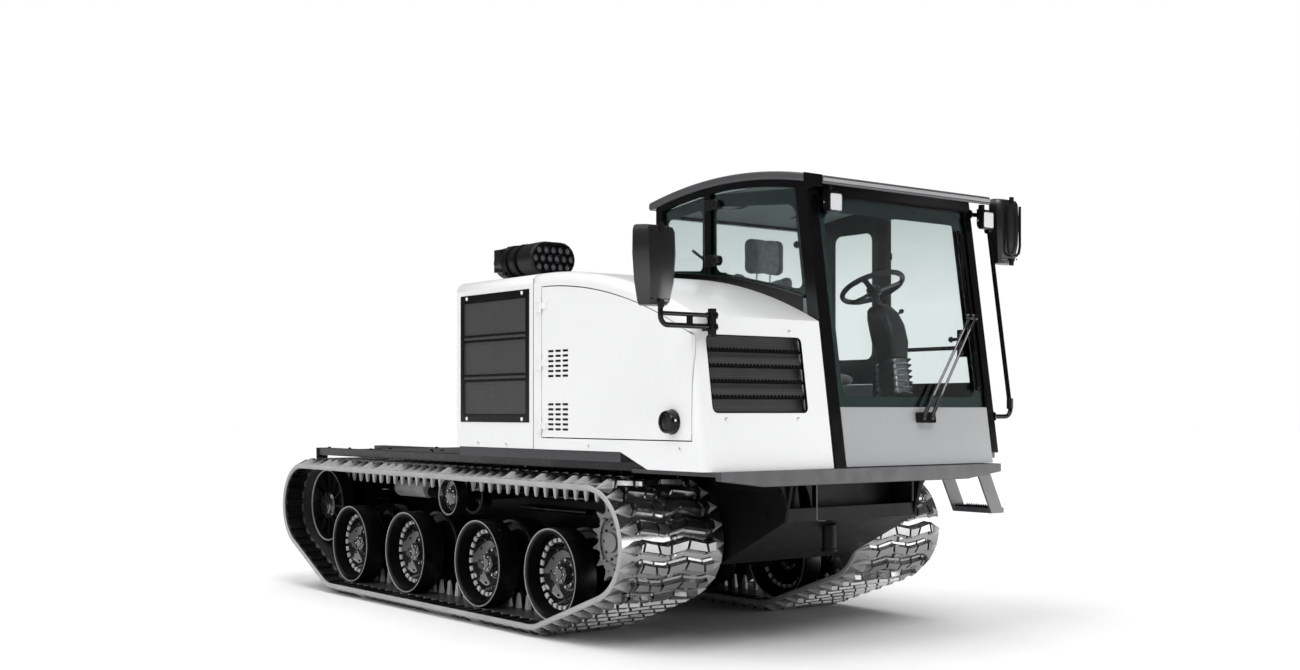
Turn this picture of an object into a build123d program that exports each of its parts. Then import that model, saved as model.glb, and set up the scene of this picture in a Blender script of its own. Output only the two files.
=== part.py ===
"""Crawler carrier: a two-track vehicle with its cab on the left, its engine bay on the right and a bare deck.

Frame: +X forward, +Y to the driver's left, +Z up. The origin is on the ground, under the middle of the box
that holds the machine. All lengths are millimetres.
"""

from math import acos, atan2, cos, hypot, pi, radians, sin, sqrt, tan
import os

from build123d import *

# Overall sizes. Places along the machine are measured back from its front or forward from its rear.
LENGTH = 4850.0             # rear lug tips to the front beam
TRACK_OVERALL = 2440.0      # over both belts
FRONT_X = LENGTH / 2
REAR_X = -LENGTH / 2
FIT = 0.3                   # gap left between curved faces that meet
GAP = 6.0                   # gap round a door
CUT = 1.0                   # how far a cutter passes the face it cuts

# Tracks
BELT_WIDTH = 700.0
BELT = 32.0                 # belt thickness without lugs
LUG_HEIGHT = 40.0
LUG_PITCH = 105.0
LUG_BASE = 62.0
LUG_TIP = 34.0
TRACK_Y = (TRACK_OVERALL - BELT_WIDTH) / 2
TRACK_INNER = TRACK_Y - BELT_WIDTH / 2

# Sprocket in front, idler behind
SPROCKET_X = FRONT_X - 922.0
SPROCKET_Z = 562.0
SPROCKET_BELT_RADIUS = 284.0   # inner face of the belt round the sprocket
SPROCKET_TEETH = 17
SPROCKET_TOOTH = 59.0
SPROCKET_CLEAR = 3.0
SPROCKET_PLATE = 26.0
SPROCKET_OFFSET = 92.0      # each toothed plate from the middle of the belt
DRUM_RADIUS = 150.0
DRUM_HALF = 110.0
CASE_RADIUS = 165.0
CASE_NECK_RADIUS = 120.0
CASE_NECK = 80.0
HUB_COVER_RADIUS = 128.0
HUB_COVER = 55.0
HUB_CAP_RADIUS = 55.0
HUB_CAP = 25.0
IDLER_BELT_RADIUS = 273.0
IDLER_X = REAR_X + IDLER_BELT_RADIUS + BELT + LUG_HEIGHT
IDLER_Z = 585.0
IDLER_WIDTH = 90.0
IDLER_OFFSET = 95.0
IDLER_RIM = 40.0
IDLER_DISC = 16.0
IDLER_HUB = 80.0
IDLER_HUB_HALF = 150.0
IDLER_SHAFT = 45.0
ROLLER_X = -340.0
ROLLER_RADIUS = 125.0
ROLLER_WIDTH = 80.0
ROLLER_SHAFT = 32.0

# Road wheels inside each track
TYRE_RADIUS = 268.0
TYRE_WIDTH = 150.0
TYRE_WALL = 24.0
TYRE_FACETS = 16
DUAL_GAP = 100.0            # room for the belt's guide teeth between the two tyres of a wheel
RIM_WALL = 10.0
RIM_LIP = 4.0               # tyre edge stands this far past the rim
DISH_DEPTH = 80.0           # from the rim's edge to its disc
DISH_RADIUS = 190.0
BOWL_DEPTH = 50.0
BOWL_RADIUS = 95.0
HUB_RADIUS = 62.0
HUB_NOSE = 62.0
AXLE_RADIUS = 38.0
IDLER_TO_WHEEL = 490.0
SPROCKET_TO_WHEEL = 573.0
BOGIE_SHARE = 0.635         # share of the wheel run that lies inside the two bogies
BEAM_INSET = 20.0           # bogie beam from the inner tyre
BOGIE_BEAM = 70.0
BEAM_HALF = 55.0
BEAM_CROWN = 190.0
BEAM_CROWN_HALF = 120.0
BEAM_END = 70.0
PIVOT_RADIUS = 72.0
PIVOT_RISE = 105.0

# Chassis
TUB_CLEAR = 20.0            # tub side to the belt
TUB_HALF = TRACK_INNER - TUB_CLEAR
TUB_TOP = 945.0
BELLY = 430.0
TUB_REAR = REAR_X + 225.0
TUB_REAR_RISE = 160.0
TUB_FRONT = FRONT_X - 325.0
SKID_FRONT_X = FRONT_X - 145.0
SKID_FRONT_Z = 690.0
SKID_REAR_X = FRONT_X - 665.0
SKID_PLATE = 16.0
SKID_LIP = 70.0
DECK_REAR = REAR_X + 95.0
DECK_TOP = 1000.0
RAIL_Y = TRACK_Y + 60.0     # centre of an outer deck rail
RAIL_WIDTH = 60.0
RAIL_FRONT = FRONT_X - 1635.0
MOUNT_RAIL_WIDTH = 90.0
MOUNT_RAIL_TOP = 1010.0
BEAM_DEPTH = 40.0
BEAM_WIDTH = 80.0
BEAMS = 7
BOLT_RADIUS = 11.0
BOLT_RELIEF = 4.0           # the hole in the tub under a bolt is wider by this
BOLT_DEPTH = 40.0
BOLT_END = 342.5            # bolt hole from either end of its rail
HITCH_PLATE = 40.0
HITCH_HALF = 110.0
HITCH_Z = 600.0
HITCH_BORE = 26.0
HITCH_END = REAR_X + 5.0
HITCH_X = HITCH_END + 48.0
HITCH_WEB = 150.0

# Front platform
PLATFORM_TOP = 970.0
PLATFORM_PLATE = 25.0
PLATFORM_LENGTH = 725.0
PLATFORM_LOW = PLATFORM_TOP - PLATFORM_PLATE
PLATFORM_REAR = FRONT_X - PLATFORM_LENGTH
PLATFORM_HALF = TRACK_OVERALL / 2 - 160.0
APRON = 40.0
APRON_DROP = 80.0           # depth of the front beam in its middle
APRON_END_DROP = 45.0
APRON_TAPER = 290.0         # length of the tapered part at either end
NOSE_PLATE = 20.0
NOSE_RAKE = 60.0
GUSSET_REACH = 200.0

# Body above the chassis
LEAN = 8.5                  # backward lean of the cab front and hood front, degrees
FOOT_X = FRONT_X - 50.0     # body front at platform height
BODY_HALF = TRACK_OVERALL / 2 - 102.0
HOOD_WIDTH = 883.0
HOOD_LEFT = -BODY_HALF + HOOD_WIDTH
HOOD_TOP = 2060.0
HOOD_CURVE_X = FRONT_X - 1515.0   # where the hood top starts to fall
HOOD_CURVE_R = 3090.0
HOOD_WALL = 25.0
HOOD_ROUND = 60.0
HOOD_REAR = FRONT_X - 2445.0
HOOD_SPLIT = FRONT_X - 1585.0
SPLIT_GAP = 8.0
HOOD_SILL = 1056.0
SILL_STEP_REAR = FRONT_X - 749.0
SILL_STEP_FRONT = FRONT_X - 515.0
FLOOR_INSET = 12.0
STEP_CLEAR = 16.0
MOUNT_RAIL_FRONT = HOOD_REAR - 25.0

# Engine door, on the right side
DOOR_REAR = FRONT_X - 1503.0
DOOR_FRONT = FRONT_X - 150.0
DOOR_BOTTOM = 1119.0
DOOR_DROP = 80.0            # door top below the hood top
SLOT_LENGTH = 55.0
SLOT_HEIGHT = 13.0
SLOT_X = DOOR_REAR + 68.0
SLOT_PITCH_X = 72.0
SLOT_PITCH_Z = 28.0
SLOT_ROWS = 6
SLOT_COLUMNS = 3
SLOT_GROUPS = (DOOR_BOTTOM + 44.0, DOOR_BOTTOM + 343.0)   # lowest row of each group
LATCH_X = DOOR_FRONT - 158.0
LATCH_Z = DOOR_BOTTOM + 98.0
LATCH_RADIUS = 62.0
LATCH_RING = 14.0
LATCH_DEPTH = 14.0
PADDLE = (24.0, 80.0)       # width and height of the latch paddle
HINGE_RADIUS = 9.0
HINGE_OUT = HINGE_RADIUS + CUT      # pin ahead of the panel
HINGE_HALF = 18.0
HINGE_LEAF = 20.0
HINGE_STRAP = 55.0
HINGE_PLATE = 7.0
DOOR_HINGE_ZS = (DOOR_BOTTOM + 71.0, DOOR_BOTTOM + 426.0, DOOR_BOTTOM + 751.0)

# Grilles
SIDE_GRILLE_REAR = HOOD_REAR + 48.0
SIDE_GRILLE_FRONT = HOOD_SPLIT - 43.0
SIDE_GRILLE_LOW = HOOD_SILL + 150.0
SIDE_GRILLE_TOP = HOOD_TOP - 86.0
SIDE_GRILLE_FRAME = 38.0
SIDE_GRILLE_PANELS = 3
SIDE_GRILLE_RIB = 24.0
SIDE_GRILLE_SINK = 6.0
GRILLE_SHEET = 10.0
FRONT_GRILLE_RIGHT = -BODY_HALF + 88.0
FRONT_GRILLE_LEFT = HOOD_LEFT - 145.0
FRONT_GRILLE_LOW = PLATFORM_TOP + 292.0
FRONT_GRILLE_TOP = FRONT_GRILLE_LOW + 395.0
FRONT_GRILLE_BANDS = 5
FRONT_GRILLE_RECESS = 42.0
FRONT_GRILLE_PROUD = 8.0    # front edge of a slanted band behind the hood front

# Engine bay
ENGINE = (620.0, 560.0, 634.0)
ENGINE_FRONT = SILL_STEP_REAR - 46.0
ENGINE_SIDE = 158.0         # engine from the hood's outer face
RADIATOR = (690.0, 130.0, 894.0)
RADIATOR_SIDE = 58.0
RADIATOR_REAR = HOOD_REAR + 90.0
CLEANER_REAR = HOOD_REAR + 170.0
CLEANER_LENGTH = 460.0
CLEANER_HALF_WIDE = 133.0
CLEANER_HALF_HIGH = 92.0
CLEANER_SIDE = 318.0        # its middle from the hood's outer face
CLEANER_LIFT = 16.0
SADDLE_HALF = 70.0
SADDLE_INSET = 60.0
STRAP = 12.0
STRAP_WIDTH = 80.0
STRAP_REAR = 120.0

# Cab
CAB_GAP = 10.0              # between hood and cab
CAB_RIGHT = HOOD_LEFT + CAB_GAP
CAB_LEFT = BODY_HALF - 8.0
CAB_REAR = FRONT_X - 1595.0
CAB_WALL = 40.0
CAB_FLOOR = 30.0
ROOF_PEAK_X = FRONT_X - 925.0
ROOF_RISE = 560.0           # roof peak above the hood top
ROOF_PEAK_Z = HOOD_TOP + ROOF_RISE
ROOF_CURVE_R = 3300.0
ROOF_SHEET = 45.0
ROOF_RAIL = 40.0
ROOF_REAR = CAB_REAR - 55.0
ROOF_FRONT = FRONT_X - 190.0
ROOF_RIGHT = CAB_RIGHT - 15.0
ROOF_LEFT = CAB_LEFT + 90.0
A_RIGHT_WIDTH = 85.0
A_RIGHT_DEPTH = 90.0
A_LEFT_WIDTH = 60.0
A_LEFT_DEPTH = 60.0
B_RIGHT_X = CAB_REAR + 460.0
B_RIGHT_WIDTH = 55.0
B_LEFT_X = CAB_REAR + 560.0
B_LEFT_WIDTH = 62.0
C_PILLAR = 65.0
FRONT_PANEL_HIGH = 319.0
FRONT_PANEL = 30.0
PANEL_GAP = 4.0
GLASS = 8.0
GLASS_INSET = 14.0
HEADER = 50.0
HEADER_DROP = 70.0
SILL_CURVE_X = FRONT_X - 1775.0   # lower edge of the right windows
SILL_CURVE_Z = HOOD_TOP + 40.0
SILL_CURVE_R = 5150.0
SIDE_SILL_HIGH = 410.0      # lower edge of the left glass above the cab floor
REAR_SILL_HIGH = 530.0
DOOR_FRAME = 62.0
CAB_HINGE_OUT = 12.0
CAB_HINGE_RADIUS = 10.0
CAB_HINGE_HALF = 20.0
CAB_HINGE_LEAF = 22.0
CAB_HINGE_STRAP = 60.0
CAB_HINGE_INSETS = (210.0, 380.0)   # lower hinge above the floor, upper hinge under the roof peak
HANDLE = (120.0, 34.0, 30.0)
HANDLE_INSET = 30.0
HANDLE_HIGH = 335.0         # above the cab floor
CATCH = (50.0, 60.0, 160.0)
CATCH_INSET = 8.0
CATCH_HIGH = 640.0

# Cab inside
SEAT_X = CAB_REAR + 350.0
SEAT_Y = (CAB_RIGHT + CAB_LEFT) / 2 + 37.5
SEAT_SETBACK = 100.0        # front face of the backrest behind the seat's place
SEAT_WIDTH = 500.0
SEAT_DEPTH = 500.0
SEAT_HEIGHT = 500.0
CUSHION = 140.0
PEDESTAL = (500.0, 380.0, 300.0)
PEDESTAL_INSET = 40.0
SEAT_TRAY = (560.0, 460.0)
BACK_THICK = 120.0
BACK_HIGH = 570.0
HEAD_THICK = 90.0
HEAD_WIDE = 270.0
HEAD_HIGH = 220.0
PAD_ROUND = 40.0
WHEEL_X = FRONT_X - 465.0
WHEEL_HIGH = 955.0          # wheel centre above the cab floor
WHEEL_RADIUS = 195.0
WHEEL_RIM = 15.0
WHEEL_TILT = 25.0           # wheel plane from the horizontal, degrees
WHEEL_HUB = 42.0
WHEEL_HUB_HIGH = 50.0
SPOKES = 3
SPOKE = (34.0, 16.0)
SPOKE_DROP = 14.0
SHAFT = 60.0
SHAFT_RADIUS = 18.0
COLUMN_HALF = 80.0
COLUMN_SHOULDER = 40.0
COLUMN_FOOT = 95.0
COLUMN_FOOT_X = FRONT_X - 275.0
CONSOLE_X = CAB_REAR + 250.0
CONSOLE = (480.0, 180.0)
CONSOLE_RISE = 60.0         # console top above the cushion
CONSOLE_ROUND = 25.0
LEVER = 14.0
LEVER_HIGH = 120.0
LEVER_KNOB = 30.0
LEVER_INSET = 60.0

# Outside fittings
LIGHT = (60.0, 100.0, 105.0)
LIGHT_ROUND = 14.0
LIGHT_GAP = 6.0             # lamp ahead of the front plane
LIGHT_INSET = 10.0          # right lamp from its pillar
LIGHT_OUT = 20.0            # left lamp from the cab side
LIGHT_STEM = (30.0, 24.0)
LIGHT_STEM_GAP = 10.0
MIRROR_WIDTH = 230.0
MIRROR_HEIGHT = 390.0
MIRROR_DEPTH = 95.0
MIRROR_ROUND = 30.0
MIRROR_CLEAR = 40.0         # left mirror from the lamp beside it
MIRROR_REACH = CAB_LEFT + LIGHT_OUT + LIGHT[1] + MIRROR_CLEAR + MIRROR_WIDTH
RIGHT_MIRROR_OUT = 105.0    # right mirror's middle ahead of the front plane
RIGHT_MIRROR_Z = HOOD_TOP - 85.0
LEFT_MIRROR_OUT = 30.0      # left mirror's middle ahead of the front plane
LEFT_MIRROR_Z = ROOF_PEAK_Z - 270.0
TUBE = 13.0
UPPER_TUBE = 11.0
TUBE_BEND = 45.0
ARM_ROOT = 83.0             # mirror arm's bar from the hood side
ARM_DROP = 90.0
ARM_SPACING = 56.0
ARM_SHIFT = 25.0
BAR_WIDTH = 30.0
BAR_HIGH = 140.0
HANDRAIL_OUT = 140.0        # handrail from the cab side
HANDRAIL_INSETS = (210.0, 180.0)    # foot above the cab floor, head under the roof peak
HANDRAIL_LEAD = 8.0         # handrail ahead of the front plane
HANDRAIL_BACK = 25.0
MIRROR_STUB = 20.0
STEP_Z = 675.0
STEP_LENGTH = 295.0
STEP_FRONT = FRONT_X - 95.0
STEP_OUT = 140.0            # outer edge of the tread past the platform end
STEP_WIDTH = 110.0
STEP_TREAD = 30.0
STEP_HANGER = 12.0
WIPER_PIVOT_Y = SEAT_Y + 20.0
WIPER_PIVOT_DROP = 57.0     # pivot under the windshield's lower edge
WIPER_TIP_OUT = 485.0       # blade from the pivot
WIPER_TIP_RISE = 527.0
WIPER_BLADE_INSETS = (97.0, 115.0)  # blade from the windshield's lower and upper edges
WIPER_LIFT = 22.0
WIPER_ARM = 7.0
WIPER_ARM_SPACING = 68.0
WIPER_BLADE_HALF = 17.0
WIPER_BASE = (130.0, 36.0, 60.0)

# Worked out from the sizes above
GROUND_RUN = LUG_HEIGHT + BELT                # inner face of the belt on the ground
AXLE_Z = GROUND_RUN + TYRE_RADIUS
LEAN_SLOPE = tan(radians(LEAN))
REAR_AXLE_X = IDLER_X + IDLER_TO_WHEEL
FRONT_AXLE_X = SPROCKET_X - SPROCKET_TO_WHEEL
AXLE_SPACING = (FRONT_AXLE_X - REAR_AXLE_X) * BOGIE_SHARE / 2
BOGIE_CENTRES = (FRONT_AXLE_X - AXLE_SPACING / 2, REAR_AXLE_X + AXLE_SPACING / 2)
AXLE_XS = [c + side * AXLE_SPACING / 2 for c in BOGIE_CENTRES for side in (1, -1)]
FLOOR_TOP = DECK_TOP + CAB_FLOOR
CUSHION_TOP = FLOOR_TOP + SEAT_HEIGHT
FRONT_PANEL_TOP = PLATFORM_TOP + PANEL_GAP + FRONT_PANEL_HIGH
SIDE_SILL = FLOOR_TOP + SIDE_SILL_HIGH
REAR_SILL = FLOOR_TOP + REAR_SILL_HIGH
CAB_HINGE_ZS = (FLOOR_TOP + CAB_HINGE_INSETS[0], ROOF_PEAK_Z - CAB_HINGE_INSETS[1])
HANDLE_Z = FLOOR_TOP + HANDLE_HIGH
CATCH_Z = FLOOR_TOP + CATCH_HIGH
WHEEL_Z = FLOOR_TOP + WHEEL_HIGH
HANDRAIL_ENDS = (FLOOR_TOP + HANDRAIL_INSETS[0], ROOF_PEAK_Z - HANDRAIL_INSETS[1])
WIPER_PIVOT_Z = FRONT_PANEL_TOP - WIPER_PIVOT_DROP
WIPER_TIP_Y = WIPER_PIVOT_Y + WIPER_TIP_OUT
WIPER_TIP_Z = FRONT_PANEL_TOP + WIPER_TIP_RISE
RIGHT_A = (CAB_RIGHT, CAB_RIGHT + A_RIGHT_WIDTH)
LEFT_A = (CAB_LEFT - A_LEFT_WIDTH, CAB_LEFT)
B_PILLAR_RIGHT = (B_RIGHT_X, B_RIGHT_X + B_RIGHT_WIDTH)
B_PILLAR_LEFT = (B_LEFT_X, B_LEFT_X + B_LEFT_WIDTH)
SKID_SLOPE = (SKID_FRONT_Z - BELLY) / (SKID_FRONT_X - SKID_REAR_X)
SIDES = {"right": -1, "left": 1}
CROSSING_STEPS = 40         # rounds that find where the hood's top and front meet
BIG = 3 * LENGTH            # longer than anything it cuts


def front_x(z):
    """X of the leaning front plane at height z."""
    return FOOT_X - (z - PLATFORM_TOP) * LEAN_SLOPE


def arc_z(x, peak_x, peak_z, radius):
    """Height at x of an arc that peaks at peak_x."""
    return peak_z - radius + sqrt(radius**2 - (x - peak_x) ** 2)


def block(x0, x1, y0, y1, z0, z1):
    """Box between two corners."""
    return Pos((x0 + x1) / 2, (y0 + y1) / 2, (z0 + z1) / 2) * Box(x1 - x0, abs(y1 - y0), z1 - z0)


def span(y0, y1, side):
    """Two distances from the centre line as ordered Y values on one side of the machine."""
    return sorted((side * y0, side * y1))


def prism(points, y0, y1):
    """Polygon in the XZ plane, carried along Y."""
    face = make_face(Polyline(*[(x, y0, z) for x, z in points], close=True))
    return extrude(face, amount=y1 - y0, dir=(0, 1, 0))


def leaning(z0, z1, near, far):
    """Outline between two heights, from near to far behind the front plane."""
    return [(front_x(z) - back, z) for z, back in ((z0, near), (z1, near), (z1, far), (z0, far))]


def rod(x, z, radius, y0, y1):
    """Cylinder along Y."""
    return Pos(x, (y0 + y1) / 2, z) * Rot(90, 0, 0) * Cylinder(radius, abs(y1 - y0))


def ring(x, z, outer, inner, y0, y1):
    return rod(x, z, outer, y0, y1) - rod(x, z, inner, y0 - CUT, y1 + CUT)


def polygon(x, z, radius, sides):
    """Corners of a regular polygon that stands on a corner when its sides divide by four."""
    step = 2 * pi / sides
    return [(x + radius * cos(i * step), z + radius * sin(i * step)) for i in range(sides)]


def post(x, y, radius, z0, z1):
    """Cylinder along Z."""
    return Pos(x, y, (z0 + z1) / 2) * Cylinder(radius, z1 - z0)


def under_arc(peak_x, peak_z, radius, drop=0.0):
    """Everything under an arc, as a wide cylinder along Y."""
    return rod(peak_x, peak_z - radius, radius - drop, -BIG, BIG)


def under_roof(drop):
    return under_arc(ROOF_PEAK_X, ROOF_PEAK_Z, ROOF_CURVE_R, drop)


def tube_along(points, bend, radius):
    """Round tube along straight runs joined by bends."""
    path = FilletPolyline(*points, radius=bend)
    return sweep(Plane(path @ 0, z_dir=path % 0) * Circle(radius), path)


def solids_of(*shapes):
    """Several solids as one node."""
    return Compound([s for shape in shapes for s in shape.solids()])


HEADER_LOW = arc_z(front_x(ROOF_PEAK_Z), ROOF_PEAK_X, ROOF_PEAK_Z, ROOF_CURVE_R) - ROOF_SHEET - HEADER_DROP


# Track: belt path round four circles, then the lugs along it
BELT_CIRCLES = [
    (SPROCKET_X, SPROCKET_Z, SPROCKET_BELT_RADIUS),
    (IDLER_X, IDLER_Z, IDLER_BELT_RADIUS),
    (REAR_AXLE_X, AXLE_Z, TYRE_RADIUS),
    (FRONT_AXLE_X, AXLE_Z, TYRE_RADIUS),
]
TOP_SEGMENT = 1             # straight run from the sprocket to the idler
GROUND_SEGMENT = 5          # straight run under the road wheels, which the lugs are counted from


def belt_segments(offset):
    """Belt path: ("arc", x, z, radius, start angle, turn) and ("line", start, end, normal angle) by turns."""
    normals = []
    for (x0, z0, r0), (x1, z1, r1) in zip(BELT_CIRCLES, BELT_CIRCLES[1:] + BELT_CIRCLES[:1]):
        heading = atan2(z1 - z0, x1 - x0)
        normals.append(heading - acos((r0 - r1) / hypot(x1 - x0, z1 - z0)))
    segments = []
    for i, (x, z, r) in enumerate(BELT_CIRCLES):
        start, end = normals[i - 1], normals[i]
        segments.append(("arc", x, z, r + offset, start, (end - start) % (2 * pi)))
        nx, nz, nr = BELT_CIRCLES[(i + 1) % len(BELT_CIRCLES)]
        a = (x + (r + offset) * cos(end), z + (r + offset) * sin(end))
        b = (nx + (nr + offset) * cos(end), nz + (nr + offset) * sin(end))
        segments.append(("line", a, b, end))
    return segments


def segment_length(segment):
    if segment[0] == "arc":
        return segment[3] * segment[5]
    return hypot(segment[2][0] - segment[1][0], segment[2][1] - segment[1][1])


def raised(segments, s, height):
    """Point at arc length s on the belt path, moved out by height."""
    s %= sum(segment_length(g) for g in segments)
    for g in segments:
        length = segment_length(g)
        if s <= length:
            break
        s -= length
    if g[0] == "arc":
        angle = g[4] + s / g[3]
        return g[1] + (g[3] + height) * cos(angle), g[2] + (g[3] + height) * sin(angle)
    t = s / length
    x, z = (g[1][k] + t * (g[2][k] - g[1][k]) for k in (0, 1))
    return x + height * cos(g[3]), z + height * sin(g[3])


def belt_face(segments, y):
    """Face inside a belt path, with its true arcs."""
    edges = []
    for g in segments:
        if g[0] == "arc":
            _, x, z, r, start, turn = g
            spots = [(x + r * cos(start + turn * t), y, z + r * sin(start + turn * t)) for t in (0, 0.5, 1)]
            edges.append(ThreePointArc(*spots))
        else:
            edges.append(Line((g[1][0], y, g[1][1]), (g[2][0], y, g[2][1])))
    return make_face(edges)


def track(side):
    inner, outer = belt_segments(0.0), belt_segments(BELT)
    y0, y1 = span(TRACK_INNER, TRACK_INNER + BELT_WIDTH, side)
    lengths = [segment_length(g) for g in outer]
    count = round(sum(lengths) / LUG_PITCH)
    middle = sum(lengths[:GROUND_SEGMENT]) + lengths[GROUND_SEGMENT] / 2
    base, tip = LUG_BASE / 2, LUG_TIP / 2
    profile = ((-base, 0.0), (-tip, LUG_HEIGHT), (tip, LUG_HEIGHT), (base, 0.0))
    outline = []
    for i in range(count):
        s = middle + (i + 0.5) * sum(lengths) / count
        outline += [raised(outer, s + along, height) for along, height in profile]
    hole = extrude(belt_face(inner, y0 - CUT), amount=y1 - y0 + 2 * CUT, dir=(0, 1, 0))
    return prism(outline, y0, y1) - hole


# Road wheels: two tyres on a double dished rim at each axle
OUTER_TYRE = (TRACK_Y + DUAL_GAP / 2, TRACK_Y + DUAL_GAP / 2 + TYRE_WIDTH)
INNER_TYRE = (TRACK_Y - DUAL_GAP / 2 - TYRE_WIDTH, TRACK_Y - DUAL_GAP / 2)


def tyres(side):
    """Faceted bands: corners reach the belt outside, flats reach the rim inside."""
    bore = (TYRE_RADIUS - TYRE_WALL) / cos(pi / TYRE_FACETS)
    shapes = []
    for x in AXLE_XS:
        for band in (OUTER_TYRE, INNER_TYRE):
            y0, y1 = span(*band, side)
            tyre = prism(polygon(x, AXLE_Z, TYRE_RADIUS - FIT, TYRE_FACETS), y0, y1)
            shapes.append(tyre - prism(polygon(x, AXLE_Z, bore, TYRE_FACETS), y0 - CUT, y1 + CUT))
    return solids_of(*shapes)


def rim_half(x, way):
    """Half of a wheel seen from one side: barrel, disc, bowl and hub nose, turned about the axle."""
    face = DUAL_GAP / 2 + TYRE_WIDTH - RIM_LIP
    rim = TYRE_RADIUS - TYRE_WALL - FIT
    disc = face - DISH_DEPTH
    floor = disc - BOWL_DEPTH
    nose = floor + HUB_NOSE
    profile = [
        (0, 0), (BOWL_RADIUS + RIM_WALL, 0), (BOWL_RADIUS + RIM_WALL, floor - RIM_WALL),
        (DISH_RADIUS + RIM_WALL, disc - RIM_WALL), (rim - RIM_WALL, disc - RIM_WALL),
        (rim - RIM_WALL, DUAL_GAP / 2 + RIM_LIP), (rim, DUAL_GAP / 2 + RIM_LIP), (rim, face),
        (rim - RIM_WALL, face), (rim - RIM_WALL, disc), (DISH_RADIUS, disc), (BOWL_RADIUS, floor),
        (HUB_RADIUS, floor), (HUB_RADIUS, nose), (0, nose),
    ]
    outline = make_face(Polyline(*[(x + r, way * y, AXLE_Z) for r, y in profile], close=True))
    return revolve(outline, Axis((x, 0, AXLE_Z), (0, 1, 0)), 360)


AXLE_END = DUAL_GAP / 2     # axle tip past the middle of the belt


def wheel_rims(side):
    shapes = []
    for x in AXLE_XS:
        wheel = Pos(0, side * TRACK_Y, 0) * (rim_half(x, 1) + rim_half(x, -1))
        bore = span(TRACK_INNER, TRACK_Y + AXLE_END + FIT, side)
        shapes.append(wheel - rod(x, AXLE_Z, AXLE_RADIUS + FIT, *bore))
    return solids_of(*shapes)


def bogies(side):
    """Rocking beam, its pivot on the tub, and the two axles that carry a pair of wheels."""
    shapes = []
    beam_outer = INNER_TYRE[0] - BEAM_INSET
    beam_inner = beam_outer - BOGIE_BEAM
    half = AXLE_SPACING / 2
    for centre in BOGIE_CENTRES:
        low, high = AXLE_Z - BEAM_HALF, AXLE_Z + BEAM_HALF
        rear, front = centre - half - BEAM_END, centre + half + BEAM_END
        outline = [
            (rear, low), (front, low), (front, high), (centre + BEAM_CROWN_HALF, AXLE_Z + BEAM_CROWN),
            (centre - BEAM_CROWN_HALF, AXLE_Z + BEAM_CROWN), (rear, high),
        ]
        arm = prism(outline, *span(beam_inner, beam_outer, side))
        arm += rod(centre, AXLE_Z + PIVOT_RISE, PIVOT_RADIUS, *span(TUB_HALF, beam_outer, side))
        for x in (centre - half, centre + half):
            arm += rod(x, AXLE_Z, AXLE_RADIUS, *span(beam_inner, TRACK_Y + AXLE_END, side))
        shapes.append(arm)
    return solids_of(*shapes)


def sprocket(side):
    tip = SPROCKET_BELT_RADIUS - SPROCKET_CLEAR
    root = tip - SPROCKET_TOOTH
    step = 2 * pi / SPROCKET_TEETH
    profile = ((-0.30, root), (-0.10, tip), (0.10, tip), (0.30, root))
    star = [
        (SPROCKET_X + r * cos((i + part) * step), SPROCKET_Z + r * sin((i + part) * step))
        for i in range(SPROCKET_TEETH)
        for part, r in profile
    ]
    body = rod(SPROCKET_X, SPROCKET_Z, DRUM_RADIUS, *span(TRACK_Y - DRUM_HALF, TRACK_Y + DRUM_HALF, side))
    for y in (TRACK_Y - SPROCKET_OFFSET, TRACK_Y + SPROCKET_OFFSET):
        body += prism(star, *span(y - SPROCKET_PLATE / 2, y + SPROCKET_PLATE / 2, side))
    return body


def final_drive(side):
    """Gear case from the tub to the sprocket, with the hub cover outside."""
    drum_in, drum_out = TRACK_Y - DRUM_HALF, TRACK_Y + DRUM_HALF
    case = rod(SPROCKET_X, SPROCKET_Z, CASE_RADIUS, *span(TUB_HALF, drum_in - CASE_NECK, side))
    case += rod(SPROCKET_X, SPROCKET_Z, CASE_NECK_RADIUS, *span(drum_in - CASE_NECK, drum_in, side))
    cover = rod(SPROCKET_X, SPROCKET_Z, HUB_COVER_RADIUS, *span(drum_out, drum_out + HUB_COVER, side))
    cap = span(drum_out + HUB_COVER, drum_out + HUB_COVER + HUB_CAP, side)
    return solids_of(case, cover + rod(SPROCKET_X, SPROCKET_Z, HUB_CAP_RADIUS, *cap))


def idler(side):
    tread = IDLER_BELT_RADIUS - FIT
    hub = span(TRACK_Y - IDLER_HUB_HALF, TRACK_Y + IDLER_HUB_HALF, side)
    wheel = rod(IDLER_X, IDLER_Z, IDLER_HUB, *hub)
    for y in (TRACK_Y - IDLER_OFFSET, TRACK_Y + IDLER_OFFSET):
        edges = span(y - IDLER_WIDTH / 2, y + IDLER_WIDTH / 2, side)
        wheel += ring(IDLER_X, IDLER_Z, tread, tread - IDLER_RIM, *edges)
        disc = span(y - IDLER_DISC / 2, y + IDLER_DISC / 2, side)
        wheel += rod(IDLER_X, IDLER_Z, tread - IDLER_RIM / 2, *disc)
    return wheel + rod(IDLER_X, IDLER_Z, IDLER_SHAFT, *span(TUB_HALF, TRACK_Y, side))


def return_roller(side):
    _, a, b, _ = belt_segments(0.0)[TOP_SEGMENT]
    top = a[1] + (ROLLER_X - a[0]) / (b[0] - a[0]) * (b[1] - a[1])
    z = top - ROLLER_RADIUS - FIT
    outer = DUAL_GAP / 2 + ROLLER_WIDTH
    roller = rod(ROLLER_X, z, ROLLER_SHAFT, *span(TUB_HALF, TRACK_Y + outer, side))
    for y in (TRACK_Y + DUAL_GAP / 2, TRACK_Y - outer):
        roller += rod(ROLLER_X, z, ROLLER_RADIUS, *span(y, y + ROLLER_WIDTH, side))
    return roller


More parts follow.
